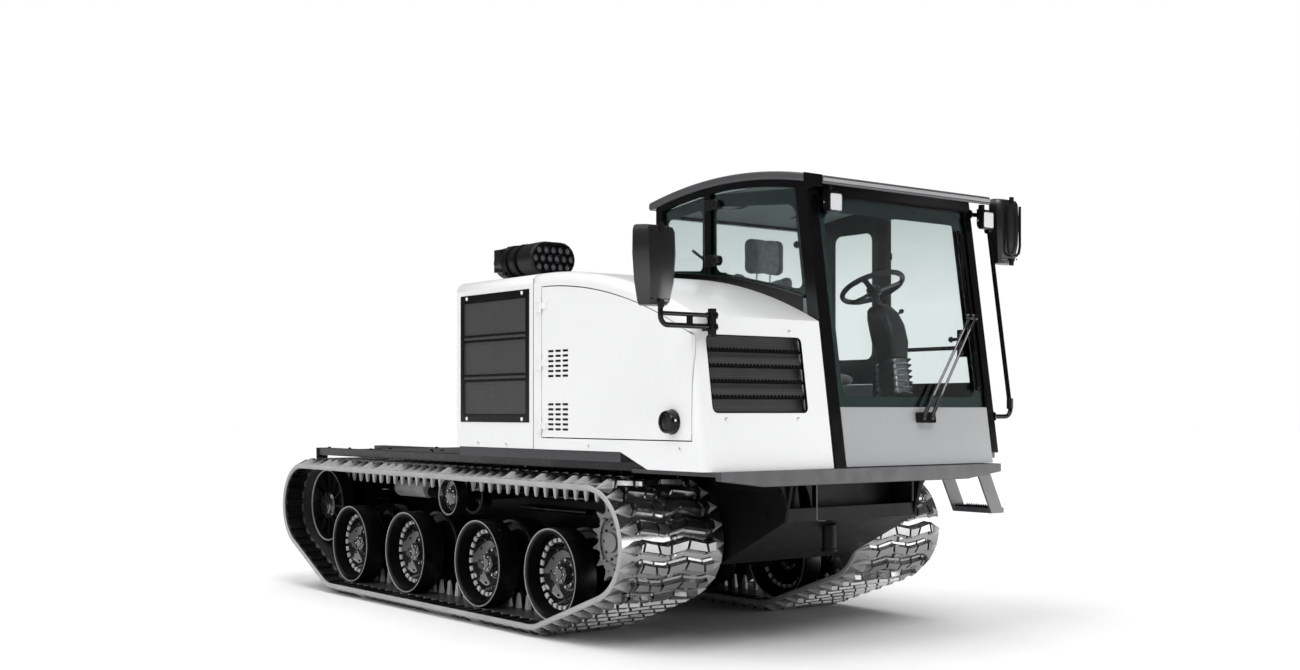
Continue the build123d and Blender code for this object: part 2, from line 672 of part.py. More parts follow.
# Chassis
RAIL_EDGES = (RAIL_Y - RAIL_WIDTH / 2, RAIL_Y + RAIL_WIDTH / 2)
MOUNT_RAIL_EDGES = (TUB_HALF - MOUNT_RAIL_WIDTH, TUB_HALF)
MOUNT_RAIL_Y = TUB_HALF - MOUNT_RAIL_WIDTH / 2
BOLT_XS = (DECK_REAR + BOLT_END, MOUNT_RAIL_FRONT - BOLT_END)


def tub():
    nose_low = BELLY + SKID_SLOPE * (TUB_FRONT - SKID_REAR_X)
    outline = [
        (TUB_REAR, TUB_TOP), (TUB_REAR, BELLY + TUB_REAR_RISE), (TUB_REAR + TUB_REAR_RISE, BELLY),
        (SKID_REAR_X, BELLY), (TUB_FRONT, nose_low), (TUB_FRONT, TUB_TOP),
    ]
    hull = prism(outline, -TUB_HALF, TUB_HALF)
    for x in BOLT_XS:
        for y in (-MOUNT_RAIL_Y, MOUNT_RAIL_Y):
            hull -= post(x, y, BOLT_RADIUS + BOLT_RELIEF, TUB_TOP - BOLT_DEPTH, TUB_TOP + CUT)
    return hull


def hitch():
    plate = block(HITCH_END, TUB_REAR, -HITCH_HALF, HITCH_HALF, HITCH_Z, HITCH_Z + HITCH_PLATE)
    web = [(TUB_REAR, HITCH_Z), (TUB_REAR, HITCH_Z - HITCH_WEB), (HITCH_END + HITCH_WEB, HITCH_Z)]
    plate += prism(web, -HITCH_PLATE / 2, HITCH_PLATE / 2)
    return plate - post(HITCH_X, 0, HITCH_BORE, HITCH_Z - CUT, HITCH_Z + HITCH_PLATE + CUT)


def rail_pair(edges, rear, front, top):
    return [block(rear, front, *span(*edges, side), TUB_TOP, top) for side in SIDES.values()]


def deck_rails():
    return solids_of(*rail_pair(RAIL_EDGES, DECK_REAR, RAIL_FRONT, DECK_TOP))


def body_rails():
    """Rails under the cab and the engine bay, in line with the deck's rails."""
    outer = rail_pair(RAIL_EDGES, RAIL_FRONT, PLATFORM_REAR, DECK_TOP)
    return solids_of(*outer, *rail_pair(MOUNT_RAIL_EDGES, MOUNT_RAIL_FRONT, PLATFORM_REAR, DECK_TOP))


def mounting_rails():
    shapes = []
    rails = rail_pair(MOUNT_RAIL_EDGES, DECK_REAR, MOUNT_RAIL_FRONT, MOUNT_RAIL_TOP)
    for rail, side in zip(rails, SIDES.values()):
        for x in BOLT_XS:
            rail -= post(x, side * MOUNT_RAIL_Y, BOLT_RADIUS, TUB_TOP - CUT, MOUNT_RAIL_TOP + CUT)
        shapes.append(rail)
    return solids_of(*shapes)


def deck_beams():
    """Cross beams between the rails, in three lengths at each place."""
    rear = DECK_REAR + BEAM_WIDTH / 2
    pitch = (PLATFORM_REAR - BEAM_WIDTH - rear) / (BEAMS - 1)
    middle, outer = MOUNT_RAIL_EDGES[0], RAIL_EDGES[0]
    bays = ((-outer, -TUB_HALF), (-middle, middle), (TUB_HALF, outer))
    shapes = []
    for i in range(BEAMS):
        x0 = rear + i * pitch - BEAM_WIDTH / 2
        for y0, y1 in bays:
            shapes.append(block(x0, x0 + BEAM_WIDTH, y0, y1, TUB_TOP, TUB_TOP + BEAM_DEPTH))
    return solids_of(*shapes)


def engine_floor():
    y0, y1 = -BODY_HALF + FLOOR_INSET, HOOD_LEFT - FLOOR_INSET
    return block(HOOD_REAR + FLOOR_INSET, SILL_STEP_REAR - STEP_CLEAR, y0, y1, DECK_TOP, HOOD_SILL)


def front_platform():
    """Top plate with a front beam that tapers towards both ends."""
    plate = block(PLATFORM_REAR, FRONT_X, -PLATFORM_HALF, PLATFORM_HALF, PLATFORM_LOW, PLATFORM_TOP)
    straight = PLATFORM_HALF - APRON_TAPER
    half = [(straight, PLATFORM_TOP - APRON_DROP), (PLATFORM_HALF, PLATFORM_TOP - APRON_END_DROP),
            (PLATFORM_HALF, PLATFORM_LOW)]
    profile = half + [(-y, z) for y, z in reversed(half)]
    face = make_face(Polyline(*[(FRONT_X - APRON, y, z) for y, z in profile], close=True))
    return plate + extrude(face, amount=APRON, dir=(1, 0, 0))


def nose():
    """Side plates under the platform, their curved gussets and the sloping skid plate between them."""
    at_tub = BELLY + SKID_SLOPE * (TUB_FRONT - SKID_REAR_X)
    skid = [(TUB_FRONT, at_tub), (SKID_FRONT_X, SKID_FRONT_Z), (SKID_FRONT_X, SKID_FRONT_Z + SKID_PLATE),
            (TUB_FRONT, at_tub + SKID_PLATE)]
    shapes = prism(skid, -TUB_HALF, TUB_HALF)
    lip = SKID_FRONT_Z + SKID_LIP
    shapes += block(SKID_FRONT_X - SKID_PLATE, SKID_FRONT_X, -TUB_HALF, TUB_HALF, SKID_FRONT_Z, lip)
    plate = [(TUB_FRONT, at_tub), (SKID_FRONT_X, SKID_FRONT_Z), (SKID_FRONT_X + NOSE_RAKE, PLATFORM_LOW),
             (TUB_FRONT, PLATFORM_LOW)]
    for side in SIDES.values():
        shapes += prism(plate, *span(TUB_HALF - NOSE_PLATE, TUB_HALF, side))
        root = (SKID_FRONT_X, side * TUB_HALF, PLATFORM_LOW)
        tip = (SKID_FRONT_X, side * (TUB_HALF + GUSSET_REACH), PLATFORM_LOW)
        foot = (SKID_FRONT_X, side * TUB_HALF, PLATFORM_LOW - GUSSET_REACH)
        bend = GUSSET_REACH * (1 - sqrt(0.5))
        middle = (SKID_FRONT_X, side * (TUB_HALF + bend), PLATFORM_LOW - bend)
        gusset = make_face([Line(root, tip), ThreePointArc(tip, middle, foot), Line(foot, root)])
        shapes += extrude(gusset, amount=NOSE_PLATE, dir=(1, 0, 0))
    return shapes


def cab_step():
    """Two raked hangers and a tread, under the left end of the platform."""
    outer = PLATFORM_HALF + STEP_OUT
    inner = outer - STEP_WIDTH
    rear = STEP_FRONT - STEP_LENGTH
    tread = block(rear, STEP_FRONT, inner, outer, STEP_Z, STEP_Z + STEP_TREAD)
    edge = [(inner, STEP_Z), (outer, STEP_Z), (PLATFORM_HALF, PLATFORM_LOW),
            (PLATFORM_HALF - STEP_WIDTH, PLATFORM_LOW)]
    for x in (rear, STEP_FRONT - STEP_HANGER):
        face = make_face(Polyline(*[(x, y, z) for y, z in edge], close=True))
        tread += extrude(face, amount=STEP_HANGER, dir=(1, 0, 0))
    return tread


# Engine bay
def hood_top(x):
    return HOOD_TOP if x < HOOD_CURVE_X else arc_z(x, HOOD_CURVE_X, HOOD_TOP, HOOD_CURVE_R)


def hood_front_top(drop):
    """Where the front plane, moved back by drop, meets the hood top, moved down by drop."""
    z = HOOD_TOP
    for _ in range(CROSSING_STEPS):
        z = hood_top(front_x(z) - drop) - drop
    return front_x(z) - drop, z


def hood_solid(rear, drop, low_rear, low_front, y0, y1):
    """Hood side outline carried along Y, set in by drop at its top and front."""
    tip_x, tip_z = hood_front_top(drop)
    middle = (HOOD_CURVE_X + tip_x) / 2
    foot = (front_x(low_front) - drop, y0, low_front)
    tip = (tip_x, y0, tip_z)
    crest = (HOOD_CURVE_X, y0, HOOD_TOP - drop)
    back_high, back_low = (rear, y0, HOOD_TOP - drop), (rear, y0, low_rear)
    step_rear, step_front = (SILL_STEP_REAR, y0, low_rear), (SILL_STEP_FRONT, y0, low_front)
    edges = [
        Polyline(crest, back_high, back_low, step_rear, step_front, foot, tip),
        ThreePointArc(tip, (middle, y0, hood_top(middle) - drop), crest),
    ]
    return extrude(make_face(edges), amount=y1 - y0, dir=(0, 1, 0))


def door_panel(gap, y0, y1):
    """Engine door outline, smaller by gap all round."""
    panel = block(DOOR_REAR + gap, DOOR_FRONT - gap, y0, y1, DOOR_BOTTOM + gap, HOOD_TOP)
    if DOOR_REAR + gap >= HOOD_CURVE_X:
        return panel & under_arc(HOOD_CURVE_X, HOOD_TOP, HOOD_CURVE_R, DOOR_DROP + gap)
    flat_top = block(DOOR_REAR, HOOD_CURVE_X, y0, y1, DOOR_BOTTOM, HOOD_TOP - DOOR_DROP - gap)
    return panel & (under_arc(HOOD_CURVE_X, HOOD_TOP, HOOD_CURVE_R, DOOR_DROP + gap) + flat_top)


def outer_corner(solid, y, rear):
    """Edges of the hood's outside corner at y that get the round: its top and its leaning front."""
    keep = []
    for e in solid.edges():
        box = e.bounding_box()
        at_side = abs(box.min.Y - y) < CUT and abs(box.max.Y - y) < CUT
        if at_side and e.center().Z > HOOD_SILL + HOOD_ROUND and e.center().X > rear + CUT:
            keep.append(e)
    return keep


def engine_hood():
    rear = HOOD_SPLIT + SPLIT_GAP / 2
    shell = hood_solid(rear, 0.0, HOOD_SILL, PLATFORM_TOP, -BODY_HALF, HOOD_LEFT)
    shell = fillet(outer_corner(shell, -BODY_HALF, rear), HOOD_ROUND)
    open_low = PLATFORM_TOP - HOOD_ROUND
    inside = (-BODY_HALF + HOOD_WALL, HOOD_LEFT - HOOD_WALL)
    shell -= hood_solid(rear - CUT, HOOD_WALL, open_low, open_low, *inside)
    shell -= door_panel(0.0, -BODY_HALF - CUT, -BODY_HALF + HOOD_WALL + CUT)
    hole = leaning(FRONT_GRILLE_LOW, FRONT_GRILLE_TOP, -HOOD_WALL, 2 * FRONT_GRILLE_RECESS)
    return shell - prism(hole, FRONT_GRILLE_RIGHT, FRONT_GRILLE_LEFT)


def front_grille():
    """Pleated sheet: recessed upright bands with slanted bands between them."""
    low, high = FRONT_GRILLE_LOW + FIT, FRONT_GRILLE_TOP - FIT
    pitch = (high - low) / FRONT_GRILLE_BANDS
    deep = FRONT_GRILLE_RECESS
    outline = [(front_x(low) - deep, low)]
    for band in range(FRONT_GRILLE_BANDS):
        z0, z1 = low + band * pitch, low + (band + 1) * pitch
        if band % 2:
            outline.append((front_x(z0) - FRONT_GRILLE_PROUD, z0))
        outline.append((front_x(z1) - deep, z1))
    back = [(front_x(z) - deep - GRILLE_SHEET, z) for z in (high, low)]
    return prism(outline + back, FRONT_GRILLE_RIGHT + FIT, FRONT_GRILLE_LEFT - FIT)


def radiator_housing():
    front = HOOD_SPLIT - SPLIT_GAP / 2
    shell = block(HOOD_REAR, front, -BODY_HALF, HOOD_LEFT, HOOD_SILL, HOOD_TOP)
    shell = fillet(shell.edges().filter_by(Axis.X).group_by(Axis.Z)[-1], HOOD_ROUND)
    shell -= block(HOOD_REAR + HOOD_WALL, front + CUT, -BODY_HALF + HOOD_WALL, HOOD_LEFT - HOOD_WALL,
                   HOOD_SILL - CUT, HOOD_TOP - HOOD_WALL)
    return shell - block(SIDE_GRILLE_REAR, SIDE_GRILLE_FRONT, -BODY_HALF - CUT, HOOD_LEFT + CUT,
                         SIDE_GRILLE_LOW, SIDE_GRILLE_TOP)


def side_grille(y0, y1, outer, way):
    """Framed sheet in panels, with a rib between panels, sunk from the face at outer."""
    rear, front = SIDE_GRILLE_REAR + FIT, SIDE_GRILLE_FRONT - FIT
    low, high = SIDE_GRILLE_LOW + FIT, SIDE_GRILLE_TOP - FIT
    grille = block(rear, front, y0, y1, low, high)
    inner_low, inner_high = low + SIDE_GRILLE_FRAME, high - SIDE_GRILLE_FRAME
    opening = (inner_high - inner_low - (SIDE_GRILLE_PANELS - 1) * SIDE_GRILLE_RIB) / SIDE_GRILLE_PANELS
    sunk = sorted((outer + way * CUT, outer - way * SIDE_GRILLE_SINK))
    for i in range(SIDE_GRILLE_PANELS):
        z0 = inner_low + i * (opening + SIDE_GRILLE_RIB)
        grille -= block(rear + SIDE_GRILLE_FRAME, front - SIDE_GRILLE_FRAME, *sunk, z0, z0 + opening)
    return grille


def side_grilles():
    right, left = -BODY_HALF + FIT, HOOD_LEFT - FIT
    right_grille = side_grille(right, -BODY_HALF + HOOD_WALL, right, -1)
    return solids_of(right_grille, side_grille(HOOD_LEFT - HOOD_WALL, left, left, 1))


def engine_door():
    y0, y1 = -BODY_HALF, -BODY_HALF + HOOD_WALL
    panel = door_panel(GAP, y0, y1)
    for low in SLOT_GROUPS:
        for row in range(SLOT_ROWS):
            for column in range(SLOT_COLUMNS):
                x = SLOT_X + column * SLOT_PITCH_X
                z = low + row * SLOT_PITCH_Z
                panel -= block(x, x + SLOT_LENGTH, y0 - CUT, y1 + CUT, z, z + SLOT_HEIGHT)
    return panel - rod(LATCH_X, LATCH_Z, LATCH_RADIUS - LATCH_RING, y0 - CUT, y1 + CUT)


HINGE_X = DOOR_REAR + GAP / 2
HINGE_Y = -BODY_HALF - HINGE_OUT


def engine_door_hinges():
    """Knuckle and strap on the door, over the gap."""
    shapes = []
    for z in DOOR_HINGE_ZS:
        z0, z1 = z - HINGE_HALF, z + HINGE_HALF
        strap = block(HINGE_X, HINGE_X + HINGE_STRAP, -BODY_HALF - HINGE_PLATE, -BODY_HALF, z0, z1)
        shapes.append(strap + post(HINGE_X, HINGE_Y, HINGE_RADIUS, z0, z1))
    return solids_of(*shapes)


def hood_hinge_leaves():
    """Fixed knuckles above and below each door knuckle."""
    shapes = []
    for z in DOOR_HINGE_ZS:
        for z0 in (z - HINGE_HALF - FIT - HINGE_LEAF, z + HINGE_HALF + FIT):
            z1 = z0 + HINGE_LEAF
            leaf = block(HINGE_X - HINGE_STRAP, HINGE_X, -BODY_HALF - HINGE_PLATE, -BODY_HALF, z0, z1)
            shapes.append(leaf + post(HINGE_X, HINGE_Y, HINGE_RADIUS, z0, z1))
    return solids_of(*shapes)


def door_latch():
    """Round recessed cup with its paddle."""
    bore = LATCH_RADIUS - LATCH_RING
    face, back = -BODY_HALF - LATCH_DEPTH, -BODY_HALF + HOOD_WALL
    cup = ring(LATCH_X, LATCH_Z, LATCH_RADIUS, bore - LATCH_RING, face, -BODY_HALF)
    cup += ring(LATCH_X, LATCH_Z, bore - FIT, bore - LATCH_RING, -BODY_HALF, back)
    cup += rod(LATCH_X, LATCH_Z, bore - FIT, back - LATCH_RING, back)
    wide, high = PADDLE
    return cup + block(LATCH_X - wide / 2, LATCH_X + wide / 2, face + LATCH_RING / 2, back,
                       LATCH_Z - high / 2, LATCH_Z + high / 2)


def engine():
    long, wide, high = ENGINE
    y = -BODY_HALF + ENGINE_SIDE
    return block(ENGINE_FRONT - long, ENGINE_FRONT, y, y + wide, HOOD_SILL, HOOD_SILL + high)


def radiator():
    long, wide, high = RADIATOR
    y = -BODY_HALF + RADIATOR_SIDE
    return block(RADIATOR_REAR, RADIATOR_REAR + long, y, y + wide, HOOD_SILL, HOOD_SILL + high)


def air_cleaner():
    """Oval canister lying along the hood, on a saddle and under a strap."""
    y = -BODY_HALF + CLEANER_SIDE
    z = HOOD_TOP + CLEANER_LIFT + CLEANER_HALF_HIGH
    front = CLEANER_REAR + CLEANER_LENGTH
    straight = CLEANER_HALF_WIDE - CLEANER_HALF_HIGH
    low, high = z - CLEANER_HALF_HIGH, z + CLEANER_HALF_HIGH
    shell = block(CLEANER_REAR, front, y - straight, y + straight, low, high)
    for dy in (-straight, straight):
        end = Pos((CLEANER_REAR + front) / 2, y + dy, z) * Rot(0, 90, 0)
        shell += end * Cylinder(CLEANER_HALF_HIGH, CLEANER_LENGTH)
    half = SADDLE_HALF
    shell += block(CLEANER_REAR + SADDLE_INSET, front - SADDLE_INSET, y - half, y + half, HOOD_TOP, z)
    half = CLEANER_HALF_WIDE + STRAP
    rear = CLEANER_REAR + STRAP_REAR
    return shell + block(rear, rear + STRAP_WIDTH, y - half, y + half, z - CLEANER_HALF_HIGH / 2, high + STRAP)


# Cab
def leaning_post(y0, y1, depth, foot):
    """Pillar on the leaning front plane, up to the roof."""
    return prism(leaning(foot, ROOF_PEAK_Z, 0.0, depth), y0, y1) & under_roof(ROOF_SHEET + FIT)


def straight_post(x0, x1, y0, y1, low):
    return block(x0, x1, y0, y1, low, ROOF_PEAK_Z) & under_roof(ROOF_SHEET + FIT)


def right_sill(drop=0.0):
    """Everything under the curved lower edge of the right windows."""
    return under_arc(SILL_CURVE_X, SILL_CURVE_Z, SILL_CURVE_R, drop)


RIGHT_WALL = (CAB_RIGHT, CAB_RIGHT + CAB_WALL)
LEFT_WALL = (CAB_LEFT - CAB_WALL, CAB_LEFT)
WALL_REAR = CAB_REAR + C_PILLAR


def cab_pillars():
    return solids_of(
        leaning_post(*RIGHT_A, A_RIGHT_DEPTH, PLATFORM_TOP),
        leaning_post(*LEFT_A, A_LEFT_DEPTH, FLOOR_TOP),
        straight_post(*B_PILLAR_LEFT, *LEFT_WALL, FLOOR_TOP),
        straight_post(CAB_REAR, WALL_REAR, *LEFT_WALL, FLOOR_TOP),
        straight_post(CAB_REAR, WALL_REAR, *RIGHT_WALL, FLOOR_TOP),
        straight_post(*B_PILLAR_RIGHT, *RIGHT_WALL, HOOD_SILL) - right_sill(),
    )


def between_pillars(rear, depth, low, inset=0.0):
    """Side outline from rear to the leaning front pillar, smaller by inset, up past the roof."""
    rear, depth = rear + inset, depth + inset
    return [(rear, low), (front_x(low) - depth, low), (front_x(ROOF_PEAK_Z) - depth, ROOF_PEAK_Z),
            (rear, ROOF_PEAK_Z)]


def cab_walls():
    """Lower right wall up to its curved sill, lower left wall behind the door, and rear wall."""
    right = prism(between_pillars(WALL_REAR, A_RIGHT_DEPTH, FLOOR_TOP), *RIGHT_WALL) & right_sill()
    left = block(WALL_REAR, B_LEFT_X, *LEFT_WALL, FLOOR_TOP, SIDE_SILL)
    rear = block(CAB_REAR, CAB_REAR + CAB_WALL, RIGHT_WALL[1], LEFT_WALL[0], FLOOR_TOP, REAR_SILL)
    return solids_of(right, left, rear)


def roof_rails():
    """Bands under the roof edge, over the side glass, the windshield and the rear glass."""
    band = under_roof(ROOF_SHEET + FIT) - under_roof(ROOF_SHEET + FIT + ROOF_RAIL)
    pillars = cab_pillars()
    right = (prism(between_pillars(WALL_REAR, A_RIGHT_DEPTH, HOOD_TOP), *RIGHT_WALL) & band) - pillars
    left = (prism(between_pillars(WALL_REAR, A_LEFT_DEPTH, HOOD_TOP), *LEFT_WALL) & band) - pillars
    front = prism(leaning(HEADER_LOW, ROOF_PEAK_Z, 0.0, HEADER), RIGHT_A[1], LEFT_A[0])
    rear = block(CAB_REAR, CAB_REAR + CAB_WALL, RIGHT_WALL[1], LEFT_WALL[0], HEADER_LOW, ROOF_PEAK_Z)
    headers = [header & under_roof(ROOF_SHEET + FIT) for header in (front, rear)]
    return solids_of(right, left, *headers)


def cab_roof():
    sheet = under_roof(0.0) - under_roof(ROOF_SHEET)
    return block(ROOF_REAR, ROOF_FRONT, ROOF_RIGHT, ROOF_LEFT, HOOD_TOP, ROOF_PEAK_Z + CUT) & sheet


def cab_floor():
    front = front_x(FLOOR_TOP) - FRONT_PANEL
    plate = block(CAB_REAR, front, CAB_RIGHT, CAB_LEFT, DECK_TOP, FLOOR_TOP)
    return plate - leaning_post(*RIGHT_A, A_RIGHT_DEPTH, PLATFORM_TOP)


def front_panel():
    """Sheet under the windshield."""
    outline = leaning(PLATFORM_TOP + PANEL_GAP, FRONT_PANEL_TOP, 0.0, FRONT_PANEL)
    return prism(outline, RIGHT_A[1], LEFT_A[0])


def windshield():
    outline = leaning(FRONT_PANEL_TOP, HEADER_LOW, GLASS_INSET, GLASS_INSET + GLASS)
    return prism(outline, RIGHT_A[1], LEFT_A[0])


def pane(outline, wall, drop):
    """Side glass in the middle of a wall, cut off at drop under the roof."""
    y = (wall[0] + wall[1]) / 2
    return prism(outline, y - GLASS / 2, y + GLASS / 2) & under_roof(drop)


def upright(x0, x1, low):
    return [(x0, low), (x1, low), (x1, ROOF_PEAK_Z), (x0, ROOF_PEAK_Z)]


def cab_glass():
    """Two right panes, left pane behind the door and rear pane."""
    drop = ROOF_SHEET + ROOF_RAIL + 2 * FIT
    sill = right_sill(-FIT)
    right_rear = pane(upright(WALL_REAR, B_RIGHT_X, HOOD_SILL), RIGHT_WALL, drop) - sill
    right_fore = between_pillars(B_PILLAR_RIGHT[1], A_RIGHT_DEPTH, HOOD_SILL)
    left_rear = pane(upright(WALL_REAR, B_LEFT_X, SIDE_SILL), LEFT_WALL, drop)
    x = CAB_REAR + CAB_WALL / 2
    rear = block(x - GLASS / 2, x + GLASS / 2, RIGHT_WALL[1], LEFT_WALL[0], REAR_SILL, HEADER_LOW)
    return solids_of(right_rear, pane(right_fore, RIGHT_WALL, drop) - sill, left_rear, rear)


DOOR_OPENING = (B_PILLAR_LEFT[1] + GAP, A_LEFT_DEPTH + GAP)
DOOR_TOP_DROP = ROOF_SHEET + ROOF_RAIL + GAP


def cab_door():
    outline = between_pillars(*DOOR_OPENING, FLOOR_TOP + GAP)
    leaf = prism(outline, *LEFT_WALL) & under_roof(DOOR_TOP_DROP)
    window = between_pillars(*DOOR_OPENING, SIDE_SILL, DOOR_FRAME)
    hole = prism(window, LEFT_WALL[0] - CUT, LEFT_WALL[1] + CUT)
    return leaf - (hole & under_roof(DOOR_TOP_DROP + DOOR_FRAME))


def cab_door_glass():
    window = between_pillars(*DOOR_OPENING, SIDE_SILL, DOOR_FRAME)
    return pane(window, LEFT_WALL, DOOR_TOP_DROP + DOOR_FRAME + FIT)


CAB_HINGE_X = B_PILLAR_LEFT[1] + GAP / 2
CAB_HINGE_Y = CAB_LEFT + CAB_HINGE_OUT


def cab_door_fittings():
    """Door knuckles and straps, outer handle and inner catch box."""
    shapes = []
    for z in CAB_HINGE_ZS:
        z0, z1 = z - CAB_HINGE_HALF, z + CAB_HINGE_HALF
        strap = block(CAB_HINGE_X, CAB_HINGE_X + CAB_HINGE_STRAP, CAB_LEFT, CAB_HINGE_Y, z0, z1)
        shapes.append(strap + post(CAB_HINGE_X, CAB_HINGE_Y, CAB_HINGE_RADIUS, z0, z1))
    long, out, high = HANDLE
    low, top = HANDLE_Z - high / 2, HANDLE_Z + high / 2
    front = front_x(top) - DOOR_OPENING[1] - HANDLE_INSET
    shapes.append(block(front - long, front, CAB_LEFT, CAB_LEFT + out, low, top))
    long, deep, high = CATCH
    low, top = CATCH_Z - high / 2, CATCH_Z + high / 2
    front = front_x(top) - DOOR_OPENING[1] - CATCH_INSET
    shapes.append(block(front - long, front, LEFT_WALL[0] - deep, LEFT_WALL[0], low, top))
    return solids_of(*shapes)


def cab_hinge_leaves():
    """Fixed knuckles above and below each cab door knuckle."""
    shapes = []
    for z in CAB_HINGE_ZS:
        for z0 in (z - CAB_HINGE_HALF - FIT - CAB_HINGE_LEAF, z + CAB_HINGE_HALF + FIT):
            z1 = z0 + CAB_HINGE_LEAF
            leaf = block(B_LEFT_X, B_PILLAR_LEFT[1], CAB_LEFT, CAB_HINGE_Y, z0, z1)
            shapes.append(leaf + post(CAB_HINGE_X, CAB_HINGE_Y, CAB_HINGE_RADIUS, z0, z1))
    return solids_of(*shapes)


# Cab inside
TRAY_TOP = CUSHION_TOP - CUSHION
BACK_FRONT = SEAT_X - SEAT_SETBACK      # front face of the backrest


def seat_base():
    long, wide, high = PEDESTAL
    rear = BACK_FRONT - BACK_THICK
    base = block(rear + PEDESTAL_INSET, rear + PEDESTAL_INSET + long, SEAT_Y - wide / 2, SEAT_Y + wide / 2,
                 FLOOR_TOP, FLOOR_TOP + high)
    long, wide = SEAT_TRAY
    return base + block(rear, rear + long, SEAT_Y - wide / 2, SEAT_Y + wide / 2, FLOOR_TOP + high, TRAY_TOP)


def seat_cushions():
    """Seat pad, backrest and headrest."""
    half, head_half = SEAT_WIDTH / 2, HEAD_WIDE / 2
    low, back_top = TRAY_TOP + FIT, CUSHION_TOP + BACK_HIGH
    seat = block(BACK_FRONT, BACK_FRONT + SEAT_DEPTH, SEAT_Y - half, SEAT_Y + half, low, CUSHION_TOP)
    back = block(BACK_FRONT - BACK_THICK, BACK_FRONT - FIT, SEAT_Y - half, SEAT_Y + half, low, back_top)
    head_x = BACK_FRONT - (BACK_THICK + HEAD_THICK) / 2
    head = block(head_x, head_x + HEAD_THICK, SEAT_Y - head_half, SEAT_Y + head_half, back_top + FIT,
                 back_top + HEAD_HIGH)
    return solids_of(*[fillet(pad.edges().filter_by(Axis.X), PAD_ROUND) for pad in (seat, back, head)])


def wheel_frame():
    """Plane of the steering wheel, its normal towards the driver."""
    tilt = radians(WHEEL_TILT)
    return Plane((WHEEL_X, SEAT_Y, WHEEL_Z), x_dir=(0, 1, 0), z_dir=(-sin(tilt), 0, cos(tilt)))


HUB_LOW = WHEEL_HUB_HIGH + WHEEL_RIM / 5    # hub bottom under the rim's plane


def steering_wheel():
    ring_radius = WHEEL_RADIUS - WHEEL_RIM
    wide, thick = SPOKE
    wheel = Torus(ring_radius, WHEEL_RIM)
    wheel += Pos(0, 0, WHEEL_HUB_HIGH / 2 - HUB_LOW) * Cylinder(WHEEL_HUB, WHEEL_HUB_HIGH)
    for i in range(SPOKES):
        spoke = Pos(ring_radius / 2, 0, -SPOKE_DROP) * Box(ring_radius, wide, thick)
        wheel += Rot(0, 0, 90 + i * 360 / SPOKES) * spoke
    return wheel_frame() * (wheel + Pos(0, 0, -HUB_LOW - SHAFT / 2) * Cylinder(SHAFT_RADIUS, SHAFT))


def steering_column():
    """Swollen cover under the wheel, down to a foot on the floor."""
    tilt = radians(WHEEL_TILT)
    drop = HUB_LOW + SHAFT + FIT
    top_x, top_z = WHEEL_X + drop * sin(tilt), WHEEL_Z - drop * cos(tilt)
    shoulder = top_z - COLUMN_SHOULDER
    outline = [
        (top_x - COLUMN_HALF, shoulder), (top_x, top_z), (top_x + COLUMN_HALF, shoulder),
        (COLUMN_FOOT_X + COLUMN_FOOT, FLOOR_TOP), (COLUMN_FOOT_X - COLUMN_FOOT, FLOOR_TOP),
    ]
    cover = prism(outline, SEAT_Y - COLUMN_HALF, SEAT_Y + COLUMN_HALF)
    above = Pos(0, 0, WHEEL_RADIUS - drop) * Box(*[2 * WHEEL_RADIUS] * 3)
    return cover - wheel_frame() * above


def side_console():
    """Armrest console with a control lever, right of the seat."""
    long, wide = CONSOLE
    left = (RIGHT_WALL[1] + SEAT_Y - SEAT_WIDTH / 2 + wide) / 2
    top = CUSHION_TOP + CONSOLE_RISE
    body = block(CONSOLE_X, CONSOLE_X + long, left - wide, left, FLOOR_TOP, top)
    body = fillet(body.edges().filter_by(Axis.X).group_by(Axis.Z)[-1], CONSOLE_ROUND)
    x, y = CONSOLE_X + long - LEVER_INSET, left - wide / 2
    return body + post(x, y, LEVER, top, top + LEVER_HIGH) + Pos(x, y, top + LEVER_HIGH) * Sphere(LEVER_KNOB)


# Outside fittings
def mirror_head(x, y, z):
    head = Pos(x, y, z) * Box(MIRROR_DEPTH, MIRROR_WIDTH, MIRROR_HEIGHT)
    return fillet(head.edges(), MIRROR_ROUND)


MIRROR_Y = MIRROR_REACH - MIRROR_WIDTH / 2
RIGHT_MIRROR_X = front_x(RIGHT_MIRROR_Z) + RIGHT_MIRROR_OUT
LEFT_MIRROR_X = front_x(LEFT_MIRROR_Z) + LEFT_MIRROR_OUT


def mirrors():
    right = mirror_head(RIGHT_MIRROR_X, -MIRROR_Y, RIGHT_MIRROR_Z)
    return solids_of(right, mirror_head(LEFT_MIRROR_X, MIRROR_Y, LEFT_MIRROR_Z))


def right_mirror_arm():
    """Clamp bar on the hood corner and two outriggers that meet at an upright under the mirror."""
    low = RIGHT_MIRROR_Z - MIRROR_HEIGHT / 2
    y = -MIRROR_Y + ARM_SHIFT
    root = -BODY_HALF + ARM_ROOT
    x, lower = RIGHT_MIRROR_X, low - ARM_DROP
    arm = tube_along([(x, y, low), (x, y, lower), (x, root, lower)], TUBE_BEND, TUBE)
    arm += rod(x, lower + ARM_SPACING, UPPER_TUBE, y, root)
    half = BAR_WIDTH / 2
    arm += block(x - half, x + half, root - half, root + half, low - BAR_HIGH, low)
    z0, z1 = low - BAR_HIGH + BAR_WIDTH, low - BAR_WIDTH
    seat = [(front_x(z1) + FIT, z1), (x, z1), (x, z0), (front_x(z0) + FIT, z0)]
    return arm + prism(seat, root - half, root + half)


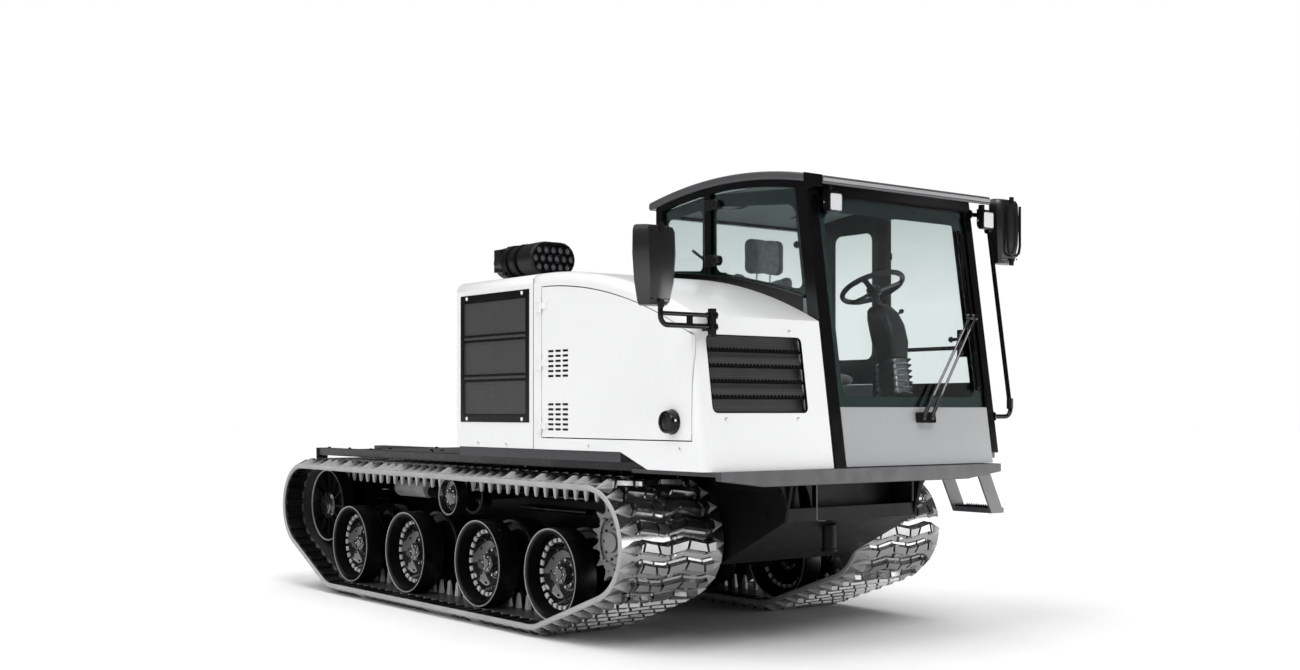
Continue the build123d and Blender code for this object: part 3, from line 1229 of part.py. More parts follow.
def handrail():
    """Long grab tube beside the left pillar, which also carries the mirror."""
    y = CAB_LEFT + HANDRAIL_OUT
    roots = [(front_x(z) - HANDRAIL_BACK, CAB_LEFT, z) for z in HANDRAIL_ENDS]
    bends = [(front_x(z) + HANDRAIL_LEAD, y, z) for z in HANDRAIL_ENDS]
    rail = tube_along([roots[0], bends[0], bends[1], roots[1]], TUBE_BEND, TUBE)
    rail -= block(0, FRONT_X, 0, CAB_LEFT, 0, ROOF_PEAK_Z)
    x = front_x(LEFT_MIRROR_Z) + HANDRAIL_LEAD
    return rail + rod(x, LEFT_MIRROR_Z, MIRROR_STUB, y - MIRROR_STUB, MIRROR_REACH - MIRROR_WIDTH)


def work_lights():
    """Square lamps under the front corners of the roof."""
    deep, wide, high = LIGHT
    stem_long, stem_wide = LIGHT_STEM
    shapes = []
    z = HEADER_LOW + LIGHT_INSET
    for y in (RIGHT_A[1] + LIGHT_INSET + wide / 2, CAB_LEFT + LIGHT_OUT + wide / 2):
        lamp = Pos(front_x(z - high) + LIGHT_GAP + deep / 2, y, z - high / 2) * Box(deep, wide, high)
        lamp = fillet(lamp.edges().filter_by(Axis.X), LIGHT_ROUND)
        x = front_x(z) + LIGHT_STEM_GAP
        stem = block(x, x + stem_long, y - stem_wide / 2, y + stem_wide / 2, z - LIGHT_ROUND, ROOF_PEAK_Z)
        shapes.append(lamp + (stem & under_roof(ROOF_SHEET + FIT)))
    return solids_of(*shapes)


def wiper():
    """Pivot block, two parallel arms and the upright blade, just ahead of the glass."""
    wide, out, high = WIPER_BASE
    low = WIPER_PIVOT_Z - high / 2
    pivot = prism(leaning(low, low + high, -FIT, -out), WIPER_PIVOT_Y - wide / 2, WIPER_PIVOT_Y + wide / 2)
    low_inset, high_inset = WIPER_BLADE_INSETS
    ends = (FRONT_PANEL_TOP + low_inset, HEADER_LOW - high_inset)
    blade = leaning(*ends, GLASS_INSET - FIT, -WIPER_LIFT - WIPER_ARM)
    shapes = pivot + prism(blade, WIPER_TIP_Y - WIPER_BLADE_HALF, WIPER_TIP_Y + WIPER_BLADE_HALF)
    for shift in (-WIPER_ARM_SPACING / 2, WIPER_ARM_SPACING / 2):
        root = (front_x(WIPER_PIVOT_Z) + WIPER_LIFT, WIPER_PIVOT_Y + shift, WIPER_PIVOT_Z)
        tip = (front_x(WIPER_TIP_Z) + WIPER_LIFT, WIPER_TIP_Y, WIPER_TIP_Z + shift)
        path = Line(root, tip)
        shapes += sweep(Plane(path @ 0, z_dir=path % 0) * Circle(WIPER_ARM), path)
    return shapes


NODES = {
    "chassis_tub": tub,
    "rear_hitch": hitch,
    "deck_rails": deck_rails,
    "body_rails": body_rails,
    "mounting_rails": mounting_rails,
    "deck_beams": deck_beams,
    "engine_floor": engine_floor,
    "front_platform": front_platform,
    "nose_frame": nose,
    "cab_step": cab_step,
    "engine_hood": engine_hood,
    "front_grille": front_grille,
    "radiator_housing": radiator_housing,
    "side_grilles": side_grilles,
    "engine_door": engine_door,
    "engine_door_hinges": engine_door_hinges,
    "engine_door_latch": door_latch,
    "hood_hinge_leaves": hood_hinge_leaves,
    "engine": engine,
    "radiator": radiator,
    "air_cleaner": air_cleaner,
    "cab_pillars": cab_pillars,
    "cab_roof_rails": roof_rails,
    "cab_roof": cab_roof,
    "cab_floor": cab_floor,
    "cab_walls": cab_walls,
    "cab_front_panel": front_panel,
    "windshield": windshield,
    "cab_glass": cab_glass,
    "cab_door": cab_door,
    "cab_door_glass": cab_door_glass,
    "cab_door_fittings": cab_door_fittings,
    "cab_hinge_leaves": cab_hinge_leaves,
    "seat_base": seat_base,
    "seat_cushions": seat_cushions,
    "steering_column": steering_column,
    "steering_wheel": steering_wheel,
    "side_console": side_console,
    "mirrors": mirrors,
    "right_mirror_arm": right_mirror_arm,
    "handrail": handrail,
    "work_lights": work_lights,
    "wiper": wiper,
}
BOTH_SIDES = {
    "sprockets": sprocket,
    "final_drives": final_drive,
    "idlers": idler,
    "return_rollers": return_roller,
}
PAIRED = {
    "track": track,
    "tyres": tyres,
    "wheel_rims": wheel_rims,
    "bogies": bogies,
}


def main():
    os.makedirs("parts", exist_ok=True)
    for name, make in NODES.items():
        export_step(make(), f"parts/{name}.step")
    for name, make in BOTH_SIDES.items():
        export_step(solids_of(*[make(sign) for sign in SIDES.values()]), f"parts/{name}.step")
    for side, sign in SIDES.items():
        for name, make in PAIRED.items():
            export_step(make(sign), f"parts/{side}_{name}.step")


main()
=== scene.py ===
"""Looks of the crawler carrier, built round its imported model.

Metres, in the model's own frame: +X forward, +Y to the driver's left, +Z up.
"""

import math

import bmesh
import bpy
from mathutils import Matrix, Vector


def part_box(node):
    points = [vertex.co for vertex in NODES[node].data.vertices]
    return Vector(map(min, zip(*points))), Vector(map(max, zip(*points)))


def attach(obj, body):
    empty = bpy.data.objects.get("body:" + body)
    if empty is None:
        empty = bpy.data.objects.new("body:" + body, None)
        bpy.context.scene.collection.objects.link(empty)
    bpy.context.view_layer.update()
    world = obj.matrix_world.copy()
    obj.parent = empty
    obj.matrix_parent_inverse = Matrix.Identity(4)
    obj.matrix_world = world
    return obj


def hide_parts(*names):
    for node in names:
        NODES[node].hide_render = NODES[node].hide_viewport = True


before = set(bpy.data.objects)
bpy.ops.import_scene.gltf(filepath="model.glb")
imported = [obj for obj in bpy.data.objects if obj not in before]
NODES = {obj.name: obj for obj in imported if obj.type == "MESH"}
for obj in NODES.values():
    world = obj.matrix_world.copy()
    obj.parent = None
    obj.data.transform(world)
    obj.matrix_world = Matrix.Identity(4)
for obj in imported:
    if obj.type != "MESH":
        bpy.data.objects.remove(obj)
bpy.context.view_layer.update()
TAU = 2 * math.pi
SIDES = {"right": -1, "left": 1}
AHEAD = (1, 0, 0)
ASTERN = (-1, 0, 0)
LEFTWARD = (0, 1, 0)
RIGHTWARD = (0, -1, 0)
UP = (0, 0, 1)
DOWN = (0, 0, -1)

# Sizes that the solids have too
BELT_WIDTH = 0.700
BELT = 0.032
LUG_HEIGHT = 0.040
LUG_PITCH = 0.105
TRACK_Y = 0.870
TYRE_RADIUS = 0.268
TYRE_WIDTH = 0.150
TYRE_WALL = 0.024
DUAL_GAP = 0.100
AXLE_Z = BELT + LUG_HEIGHT + TYRE_RADIUS
AXLE_XS = (0.930, 0.130, -0.790, -1.590)
SPROCKET = Vector((1.503, 0.0, 0.562))
SPROCKET_BELT_RADIUS = 0.284
SPROCKET_TEETH = 17
IDLER = Vector((-2.080, 0.0, 0.585))
IDLER_BELT_RADIUS = 0.273
ROLLER_X = -0.340
PLATFORM_TOP = 0.970
FOOT_X = 2.375
LEAN = math.tan(math.radians(8.5))
HOOD_TOP = 2.060
BODY_RIGHT = -1.118
CAB_RIGHT = -0.225
CAB_LEFT = 1.110
CAB_REAR = 0.830
ROOF_PEAK = (1.500, 2.620, 3.300)       # x, z and radius of the roof's curve
SILL_PEAK = (0.650, 2.100, 5.150)       # the same of the right windows' lower edge
SEAT_Y = 0.480
WHEEL = Vector((1.960, SEAT_Y, 1.985))
WHEEL_TILT = math.radians(25)


def front_x(z):
    """X of the leaning front plane at height z."""
    return FOOT_X - (z - PLATFORM_TOP) * LEAN


def arc_z(peak, x):
    """Height of a curve that falls away on both sides of its peak."""
    peak_x, peak_z, radius = peak
    return peak_z - radius + math.sqrt(radius ** 2 - (x - peak_x) ** 2)


# Materials
GRAIN_DEPTH = 0.002


def new_material(name):
    made = bpy.data.materials.new(name)
    made.use_nodes = True
    tree = made.node_tree
    return made, tree, tree.nodes["Principled BSDF"]


def feed(tree, node, sockets):
    """Set the inputs of a node, or link them to outputs of other nodes."""
    for key, value in sockets.items():
        if isinstance(value, bpy.types.NodeSocket):
            tree.links.new(value, node.inputs[key])
        else:
            node.inputs[key].default_value = value


def add_node(tree, kind, sockets=None, **settings):
    node = tree.nodes.new(kind)
    for key, value in settings.items():
        setattr(node, key, value)
    feed(tree, node, sockets or {})
    return node


def place_of(tree):
    return add_node(tree, "ShaderNodeTexCoord").outputs["Object"]


def noise(tree, scale, detail=3.0):
    sockets = {"Vector": place_of(tree), "Scale": scale, "Detail": detail}
    return add_node(tree, "ShaderNodeTexNoise", sockets).outputs["Fac"]


def drift(tree, scale, low, high, detail=3.0):
    """Noise stretched to run from low to high."""
    source = noise(tree, scale, detail)
    sockets = {"Value": source, "From Min": 0.3, "From Max": 0.7, "To Min": low, "To Max": high}
    return add_node(tree, "ShaderNodeMapRange", sockets).outputs["Result"]


def waves(tree, scale, axis, distortion=0.0):
    sockets = {"Vector": place_of(tree), "Scale": scale, "Distortion": distortion}
    return add_node(tree, "ShaderNodeTexWave", sockets, bands_direction=axis).outputs["Fac"]


def calculate(tree, operation, a, b=0.0):
    return add_node(tree, "ShaderNodeMath", {0: a, 1: b}, operation=operation).outputs[0]


def blend(tree, factor, first, second):
    sockets = {"Factor": factor, "A": (*first, 1), "B": (*second, 1)}
    return add_node(tree, "ShaderNodeMix", sockets, data_type="RGBA").outputs["Result"]


def mottle(tree, color, tone, patch, detail):
    """Colour that drifts between a darker and a paler shade of itself."""
    dark = [c * (1 - tone) for c in color]
    pale = [min(1.0, c * (1 + tone)) for c in color]
    return blend(tree, drift(tree, patch, 0.0, 1.0, detail), dark, pale)


def bump(tree, height, strength):
    sockets = {"Height": height, "Strength": strength, "Distance": GRAIN_DEPTH}
    return add_node(tree, "ShaderNodeBump", sockets).outputs["Normal"]


def coating(name, color, rough, metallic=0.0, coat=0.0, grain=(400.0, 0.05), tone=0.1, patch=3.0,
            swing=0.06, shine=0.5):
    """Surface with a drifting tone, uneven gloss and a fine grain."""
    made, tree, shader = new_material(name)
    feed(tree, shader, {
        "Metallic": metallic,
        "Specular IOR Level": shine,
        "Coat Weight": coat,
        "Coat Roughness": 0.05,
        "Base Color": mottle(tree, color, tone, patch, 4.0),
        "Roughness": drift(tree, patch * 4, rough - swing, rough + swing),
        "Normal": bump(tree, noise(tree, grain[0]), grain[1]),
    })
    return made


def ribbed_rubber(name, color, rough, ribs):
    """Shining moulded rubber with fine ribs in patches across the belt."""
    made, tree, shader = new_material(name)
    patches = calculate(tree, "MAXIMUM", drift(tree, 5.0, -1.0, 1.2, 1.0), 0.0)
    relief = calculate(tree, "MULTIPLY", waves(tree, ribs, "Y"), patches)
    grain = calculate(tree, "MULTIPLY", noise(tree, 260.0), 0.15)
    feed(tree, shader, {
        "IOR": 3.4,
        "Coat Weight": 0.5,
        "Coat Roughness": 0.12,
        "Base Color": mottle(tree, color, 0.35, 7.0, 5.0),
        "Roughness": drift(tree, 24.0, rough - 0.04, rough + 0.08),
        "Normal": bump(tree, calculate(tree, "ADD", relief, grain), 0.12),
    })
    return made


def perforated(name, color, hole, across, pitch):
    """Sheet with round holes in staggered rows; across is the level axis of the sheet."""
    made, tree, shader = new_material(name)
    split = add_node(tree, "ShaderNodeSeparateXYZ", {0: place_of(tree)})
    row = calculate(tree, "DIVIDE", split.outputs["Z"], pitch * 0.87)
    stagger = calculate(tree, "MULTIPLY", calculate(tree, "FLOOR", row), 0.5)
    column = calculate(tree, "ADD", calculate(tree, "DIVIDE", split.outputs[across], pitch), stagger)
    offsets = [calculate(tree, "SUBTRACT", calculate(tree, "FRACT", part), 0.5) for part in (row, column)]
    squares = [calculate(tree, "MULTIPLY", part, part) for part in offsets]
    solid = calculate(tree, "GREATER_THAN", calculate(tree, "ADD", *squares), 0.09)
    feed(tree, shader, {
        "Base Color": blend(tree, solid, hole, color),
        "Roughness": drift(tree, 9.0, 0.34, 0.5),
        "Normal": bump(tree, solid, 0.5),
    })
    return made


def woven(name, color, thread):
    """Cloth with crossing threads and a soft sheen."""
    made, tree, shader = new_material(name)
    height = 0.0
    for axis in ("X", "Y", "Z"):
        height = calculate(tree, "ADD", waves(tree, thread, axis, 0.6), height)
    feed(tree, shader, {
        "Base Color": mottle(tree, color, 0.22, 30.0, 3.0),
        "Roughness": 0.85,
        "Sheen Weight": 0.4,
        "Normal": bump(tree, height, 0.35),
    })
    return made


def glazing(name, clear, deep, low, high):
    """Clear pane whose tint deepens from height low to height high."""
    made, tree, shader = new_material(name)
    height = add_node(tree, "ShaderNodeSeparateXYZ", {0: place_of(tree)}).outputs["Z"]
    uneven = calculate(tree, "ADD", height, drift(tree, 1.2, -0.05, 0.05))
    depth = add_node(tree, "ShaderNodeMapRange", {"Value": uneven, "From Min": low, "From Max": high})
    feed(tree, shader, {
        "Base Color": blend(tree, depth.outputs["Result"], clear, deep),
        "Roughness": drift(tree, 40.0, 0.0, 0.02),
        "Transmission Weight": 1.0,
        "IOR": 1.25,
    })
    return made


WHITE = coating("white_gloss_paint", (0.80, 0.805, 0.805), 0.30, coat=0.2, grain=(900.0, 0.01), tone=0.01,
                swing=0.01)
BLACK = coating("black_gloss_paint", (0.0018, 0.0018, 0.002), 0.20, grain=(700.0, 0.01), swing=0.03,
                shine=0.3)
DARK = coating("dark_grey_satin", (0.045, 0.046, 0.048), 0.38, grain=(1200.0, 0.02), tone=0.06, shine=0.4)
ROOF_GREY = coating("roof_grey", (0.070, 0.070, 0.073), 0.30, grain=(1200.0, 0.02), tone=0.06, swing=0.02)
STEP_GREY = coating("step_grey", (0.10, 0.10, 0.104), 0.38, grain=(900.0, 0.08), tone=0.08)
CHASSIS = coating("chassis_black", (0.004, 0.004, 0.0044), 0.40, grain=(500.0, 0.05), tone=0.15, swing=0.04,
                  shine=0.10)
GLOSSY = coating("shining_black", (0.006, 0.006, 0.007), 0.13, coat=0.7, grain=(300.0, 0.05), tone=0.2,
                 swing=0.03)
SILVER = coating("silver_grey_paint", (0.34, 0.345, 0.35), 0.34, coat=0.15, grain=(900.0, 0.02), tone=0.02,
                 swing=0.015)
RAIL = coating("rail_grey", (0.026, 0.026, 0.027), 0.28, grain=(600.0, 0.015), swing=0.03)
RUBBER = ribbed_rubber("track_rubber", (0.008, 0.008, 0.0085), 0.16, 95.0)
# Pale rubber on the lugs' end faces: a painted highlight of light falling on them
LUG_END_HIGHLIGHT = coating("lug_end_painted_highlight", (0.36, 0.36, 0.36), 0.36, grain=(300.0, 0.12), tone=0.08, patch=30.0)
# Pale rubber on the belt's edges and on the lips of tyres, idlers and rollers: a painted highlight where
# light catches them
EDGE_HIGHLIGHT = coating("belt_edge_painted_highlight", (0.34, 0.34, 0.34), 0.5, grain=(300.0, 0.2), tone=0.10, patch=6.0)
INNER = coating("belt_inner_rubber", (0.042, 0.042, 0.043), 0.36, grain=(300.0, 0.1), tone=0.15, patch=6.0)
TOOTH = coating("guide_tooth_rubber", (0.55, 0.55, 0.55), 0.34, grain=(300.0, 0.15), tone=0.15, patch=9.0)
TYRE = coating("tyre_rubber", (0.004, 0.004, 0.0045), 0.32, grain=(350.0, 0.12), tone=0.2, shine=0.4)
STEEL = coating("bright_steel", (0.60, 0.60, 0.61), 0.24, metallic=1.0, grain=(500.0, 0.05))
IRON = coating("dark_iron", (0.10, 0.10, 0.103), 0.30, metallic=1.0, grain=(300.0, 0.12), tone=0.2)
CAST = coating("cast_grey", (0.20, 0.20, 0.203), 0.42, metallic=0.5, grain=(250.0, 0.25), tone=0.2)
PLASTIC = coating("black_plastic", (0.005, 0.005, 0.0054), 0.36, grain=(900.0, 0.12), shine=0.22)
SHELL = coating("mirror_shell", (0.010, 0.010, 0.0105), 0.24, grain=(1100.0, 0.015), swing=0.02)
TRIM = coating("cab_trim_grey", (0.13, 0.15, 0.15), 0.6, grain=(700.0, 0.2), tone=0.06)
LINING = coating("headliner_grey", (0.34, 0.40, 0.39), 0.7, grain=(800.0, 0.3), tone=0.05)
SIDE_MESH = perforated("side_grille_mesh", (0.042, 0.042, 0.043), (0.006, 0.006, 0.006), "X", 0.013)
FRONT_MESH = perforated("front_grille_mesh", (0.055, 0.055, 0.056), (0.010, 0.010, 0.010), "Y", 0.013)
FABRIC = woven("seat_fabric", (0.15, 0.168, 0.168), 180.0)
FABRIC_PALE = woven("seat_fabric_pale", (0.27, 0.30, 0.30), 180.0)
GLASS = glazing("teal_glass", (0.86, 0.905, 0.90), (0.66, 0.72, 0.71), 1.9, 2.55)
FRIT = coating("glass_border", (0.0002, 0.014, 0.0115), 0.15, grain=(400.0, 0.01), tone=0.15, shine=0.15)
LENS = coating("lamp_glass", (0.66, 0.67, 0.68), 0.12, coat=0.5, grain=(160.0, 0.3), tone=0.06)


def linked(name, data):
    """New object in the scene."""
    made = bpy.data.objects.new(name, data)
    bpy.context.scene.collection.objects.link(made)
    return made


class Shape:
    """Mesh under construction: vertices and faces, with one material per face."""

    def __init__(self, name):
        self.name = name
        self.points = []
        self.faces = []
        self.marks = []
        self.palette = []

    def add(self, points, faces, material):
        if material not in self.palette:
            self.palette.append(material)
        start = len(self.points)
        self.points += [Vector(p) for p in points]
        self.faces += [[start + i for i in face] for face in faces]
        self.marks += [self.palette.index(material)] * len(faces)

    def box(self, low, high, material, at=(0, 0, 0)):
        """Block between two corners, which are counted from the place at."""
        spans = [(start + a, start + b) for start, a, b in zip(at, low, high)]
        corners = [Vector((x, y, z)) for x in spans[0] for y in spans[1] for z in spans[2]]
        faces = ((0, 1, 3, 2), (4, 6, 7, 5), (0, 4, 5, 1), (2, 3, 7, 6), (0, 2, 6, 4), (1, 5, 7, 3))
        self.add(corners, faces, material)

    def loft(self, rings, material, ends=True, around=True):
        """Skin over rings that have the same number of points each."""
        count = len(rings[0])
        faces = []
        for k in range(len(rings) - 1):
            for i in range(count if around else count - 1):
                j = (i + 1) % count
                faces.append((k * count + i, k * count + j, (k + 1) * count + j, (k + 1) * count + i))
        if ends:
            faces.append(tuple(reversed(range(count))))
            faces.append(tuple((len(rings) - 1) * count + i for i in range(count)))
        self.add([p for ring in rings for p in ring], faces, material)

    def skin(self, place, loops, material, ends=False):
        """Skin over loops of (u, v), each at a depth of its own."""
        self.loft([[place(u, v, depth) for u, v in loop] for loop, depth in loops], material, ends)

    def frame(self, place, outer, inner, near, far, material):
        """Flat border between two loops, from depth near to depth far."""
        loops = ((outer, near), (inner, near), (inner, far), (outer, far), (outer, near))
        self.skin(place, loops, material)

    def plate(self, place, outline, near, far, material):
        self.skin(place, ((outline, near), (outline, far)), material, True)

    def lathe(self, centre, axis, profile, material, steps=48, ends=False):
        """Profile of (radius, distance along the axis) turned round the axis."""
        turn = Vector(axis).to_track_quat("Z", "Y").to_matrix()
        circle = [(math.cos(TAU * i / steps), math.sin(TAU * i / steps)) for i in range(steps)]
        centre = Vector(centre)
        rings = [[centre + turn @ Vector((r * c, r * s, along)) for c, s in circle] for r, along in profile]
        self.loft(rings, material, ends)

    def tube(self, points, radius, material, sides=14):
        """Round bar through points, with mitred corners."""
        points = [Vector(p) for p in points]
        rings = []
        side = None
        for i, p in enumerate(points):
            after = (points[min(i + 1, len(points) - 1)] - p).normalized()
            before = (p - points[max(i - 1, 0)]).normalized()
            along = (before + after).normalized()
            side = along.orthogonal() if side is None else side - along * side.dot(along)
            side.normalize()
            other = along.cross(side)
            bend = max(0.5, before.dot(along)) if before.length and after.length else 1.0
            turns = [TAU * k / sides for k in range(sides)]
            rings.append([p + (side * math.cos(t) + other * math.sin(t)) * radius / bend for t in turns])
        self.loft(rings, material)

    def bolt(self, centre, axis, radius, height, material):
        profile = ((radius, 0), (radius, height * 0.8), (radius * 0.8, height))
        self.lathe(centre, axis, profile, material, 6, True)

    def dome(self, centre, axis, radius, height, material):
        profile = ((radius, 0), (radius * 0.9, height * 0.5), (radius * 0.6, height * 0.85),
                   (0.0001, height))
        self.lathe(centre, axis, profile, material, 12)

    def done(self, body="machine", replaces=(), bevel=0.0, sharp=35):
        mesh = bpy.data.meshes.new(self.name)
        mesh.from_pydata(self.points, [], self.faces)
        work = bmesh.new()
        work.from_mesh(mesh)
        for face, mark in zip(work.faces, self.marks):
            face.material_index = mark
            face.smooth = True
        bmesh.ops.remove_doubles(work, verts=work.verts, dist=0.00002)
        bmesh.ops.recalc_face_normals(work, faces=work.faces)
        work.to_mesh(mesh)
        work.free()
        for material in self.palette:
            mesh.materials.append(material)
        mesh.set_sharp_from_angle(angle=math.radians(sharp))
        made = linked(self.name, mesh)
        if bevel:
            round_edges(made, bevel)
        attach(made, body)
        if replaces:
            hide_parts(*replaces)
        return made


def round_edges(made, width):
    weld = made.modifiers.new("weld", "WELD")
    weld.merge_threshold = 0.00005
    bevel = made.modifiers.new("bevel", "BEVEL")
    bevel.width = width
    bevel.segments = 2
    bevel.limit_method = "ANGLE"
    bevel.angle_limit = math.radians(40)
    bevel.harden_normals = True


def rounded(u0, u1, v0, v1, radius, steps=5):
    """Rectangle with round corners, as a loop of (u, v)."""
    made = []
    corners = ((u1 - radius, v1 - radius, 0), (u0 + radius, v1 - radius, 1), (u0 + radius, v0 + radius, 2),
               (u1 - radius, v0 + radius, 3))
    for u, v, quarter in corners:
        for i in range(steps + 1):
            angle = (quarter + i / steps) * math.pi / 2
            made.append((u + radius * math.cos(angle), v + radius * math.sin(angle)))
    return made


def rectangle(u0, u1, v0, v1):
    return (u0, v0), (u1, v0), (u1, v1), (u0, v1)


def shrunk(edges, by):
    """Edges of a rectangle, moved inwards."""
    u0, u1, v0, v1 = edges
    return u0 + by, u1 - by, v0 + by, v1 - by


def upright(y):
    """Places by X, height and depth on a plane along the machine; depth runs to the left."""
    return lambda x, z, depth: Vector((x, y + depth, z))


def facing_front(x, y, z):
    """Places by distance left, up and to the rear of a spot, on a plane across the machine."""
    return lambda u, v, depth: Vector((x - depth, y + u, z + v))


def on_front(y, z, depth):
    """Place on the leaning front plane, depth behind it."""
    return Vector((front_x(z) - depth, y, z))


# Right side of the engine bay
on_right = upright(BODY_RIGHT)


# Tracks
class BeltPath:
    """Outer face of a belt round four circles; a place on it is an arc length."""

    def __init__(self):
        wheels = [(x, AXLE_Z, TYRE_RADIUS) for x in (min(AXLE_XS), max(AXLE_XS))]
        drive = (SPROCKET.x, SPROCKET.z, SPROCKET_BELT_RADIUS)
        circles = [drive, (IDLER.x, IDLER.z, IDLER_BELT_RADIUS), *wheels]
        normals = []
        for (x0, z0, r0), (x1, z1, r1) in zip(circles, circles[1:] + circles[:1]):
            lean = math.acos((r0 - r1) / math.hypot(x1 - x0, z1 - z0))
            normals.append(math.atan2(z1 - z0, x1 - x0) - lean)
        self.runs = []
        for i, (x, z, r) in enumerate(circles):
            start, end = normals[i - 1], normals[i]
            r += BELT
            self.runs.append((r * ((end - start) % TAU), Vector((x, z)), None, r, start))
            nx, nz, nr = circles[(i + 1) % len(circles)]
            way = Vector((math.cos(end), math.sin(end)))
            a, b = Vector((x, z)) + way * r, Vector((nx, nz)) + way * (nr + BELT)
            self.runs.append(((b - a).length, a, b, 0.0, end))
        self.length = sum(run[0] for run in self.runs)
        self.units = round(self.length / LUG_PITCH)
        self.pitch = self.length / self.units
        self.start = sum(run[0] for run in self.runs[:5]) + self.runs[5][0] / 2

    def at(self, s, height):
        s %= self.length
        for length, a, b, radius, angle in self.runs:
            if s <= length:
                break
            s -= length
        if b is None:
            angle += s / radius
        spot = a.lerp(b, s / length) if b else a
        return spot + Vector((math.cos(angle), math.sin(angle))) * (radius + height)


PATH = BeltPath()
HALF = BELT_WIDTH / 2
POCKET = 0.015
# Belt section: place across the belt, height, and whether it sinks at a pocket
SECTION = (
    (-0.343, 0, 0), (0.343, 0, 0), (HALF, -0.007, 0), (HALF, -0.025, 0), (0.343, -BELT, 0),
    (0.331, -BELT, 0), (0.323, -BELT, 1), (0.205, -BELT, 1), (0.197, -BELT, 0), (-0.197, -BELT, 0),
    (-0.205, -BELT, 1), (-0.323, -BELT, 1), (-0.331, -BELT, 0), (-0.343, -BELT, 0), (-HALF, -0.025, 0),
    (-HALF, -0.007, 0),
)
# Strips of the belt's edges, which take the pale painted highlight
EDGE_STRIPS = (1, 2, 3, 13, 14, 15)
# Strips of the inner pockets, painted near black as shade in those recesses
SHADED_POCKET_STRIPS = (6, 10)
# Belt stations in one pitch: share of the pitch, and whether inside a pocket
STATIONS = ((0.0, 0), (0.17, 0), (0.22, 1), (0.5, 1), (0.78, 1), (0.83, 0))
# Half a lug's section, from its foot to its crest: distance from the middle, height
LUG_HALF = ((0.041, -0.002), (0.038, 0.011), (0.027, 0.016), (0.019, LUG_HEIGHT))
# Notches across a lug: place across the belt, slant
NOTCHES = ((-0.205, 0.7), (-0.075, -0.7), (0.045, 0.0), (0.125, 0.8), (0.225, -0.6))
NOTCH_HALF = 0.006
NOTCH_FLOOR = 0.45
SHARP = 0.002
ZIGZAG = 0.012
ZIGZAG_LENGTH = 0.140
LUG_SHOULDER = 0.262        # where a lug starts to taper towards the belt's edge
# Guide tooth from its foot inwards: half length, half width, height
GUIDE_TOOTH = ((0.021, 0.016, -0.004), (0.019, 0.015, 0.02), (0.010, 0.010, 0.082), (0.007, 0.007, 0.090),
               (0.003, 0.003, 0.092))
OCTAGON = ((-1, -0.6), (-0.6, -1), (0.6, -1), (1, -0.6), (1, 0.6), (0.6, 1), (-0.6, 1), (-1, 0.6))
# Knob between two lugs: radius, height
KNOB = ((0.021, -0.002), (0.019, 0.010), (0.010, 0.014))


def zigzag(w):
    """How far a lug runs ahead at a place across the belt."""
    share = (w + HALF) / ZIGZAG_LENGTH % 2
    return ZIGZAG * (abs(share - 1) * 2 - 1)


def lug_stations():
    """Places along one lug: across the belt, share of full height, share of full width, slant."""
    made = []
    for way in (-1, 1):
        made += [(way * (HALF - 0.004), 0.04, 0.12, 0), (way * LUG_SHOULDER, 1.0, 1.0, 0)]
    made += [(i * ZIGZAG_LENGTH - HALF, 1.0, 1.0, 0) for i in (1, 2, 3, 4)]
    for w, slant in NOTCHES:
        steps = ((-NOTCH_HALF - SHARP, 1.0), (-NOTCH_HALF, NOTCH_FLOOR), (NOTCH_HALF, NOTCH_FLOOR),
                 (NOTCH_HALF + SHARP, 1.0))
        made += [(w + step, high, 1.0, slant) for step, high in steps]
    return sorted(made)


def strip_look(strip):
    """Material of one strip of the belt; strip 0 is the outer face. Edge strips are pale as a painted
    highlight, pocket strips near black as painted shade.
    """
    if strip in EDGE_STRIPS:
        return EDGE_HIGHLIGHT
    if strip in SHADED_POCKET_STRIPS:
        return TYRE
    return INNER if strip else RUBBER


def track(side_name):
    side = SIDES[side_name]
    made = Shape(side_name + "_track_belt")
    profile = [(-s, h) for s, h in LUG_HALF] + [(s, h) for s, h in reversed(LUG_HALF)]

    def place(s, w, h):
        spot = PATH.at(s, h)
        return Vector((spot.x, side * (TRACK_Y + w), spot.y))

    rings = []
    for unit in range(PATH.units):
        for share, sunk in STATIONS:
            s = PATH.start + (unit + share) * PATH.pitch
            rings.append([place(s, w, h + POCKET * sinks * sunk) for w, h, sinks in SECTION])
    rings.append(rings[0])
    for strip in range(len(SECTION)):
        pair = [[ring[strip], ring[(strip + 1) % len(SECTION)]] for ring in rings]
        made.loft(pair, strip_look(strip), ends=False, around=False)
    stations = lug_stations()
    for unit in range(PATH.units):
        middle = PATH.start + (unit + 0.5) * PATH.pitch
        lug = []
        for w, high, wide, slant in stations:
            skew = slant * 0.5
            row = [(middle + s * wide + zigzag(w) * wide, w + skew * s, h * high) for s, h in profile]
            lug.append([place(*spot) for spot in row])
        # Both end faces of the lug take the painted highlight
        made.loft(lug[:2], LUG_END_HIGHLIGHT, around=False)
        made.loft(lug[1:-1], RUBBER, ends=False, around=False)
        made.loft(lug[-2:], LUG_END_HIGHLIGHT, around=False)
        between = middle - PATH.pitch / 2
        turns = [TAU * i / 10 for i in range(10)]
        knob = [[place(between + r * math.cos(t), r * math.sin(t), h) for t in turns] for r, h in KNOB]
        made.loft(knob, RUBBER)
        tooth = [[place(between + a * long, b * wide, -BELT - h) for a, b in OCTAGON]
                 for long, wide, h in GUIDE_TOOTH]
        made.loft(tooth, TOOTH)
    made.done(replaces=[side_name + "_track"], sharp=30)


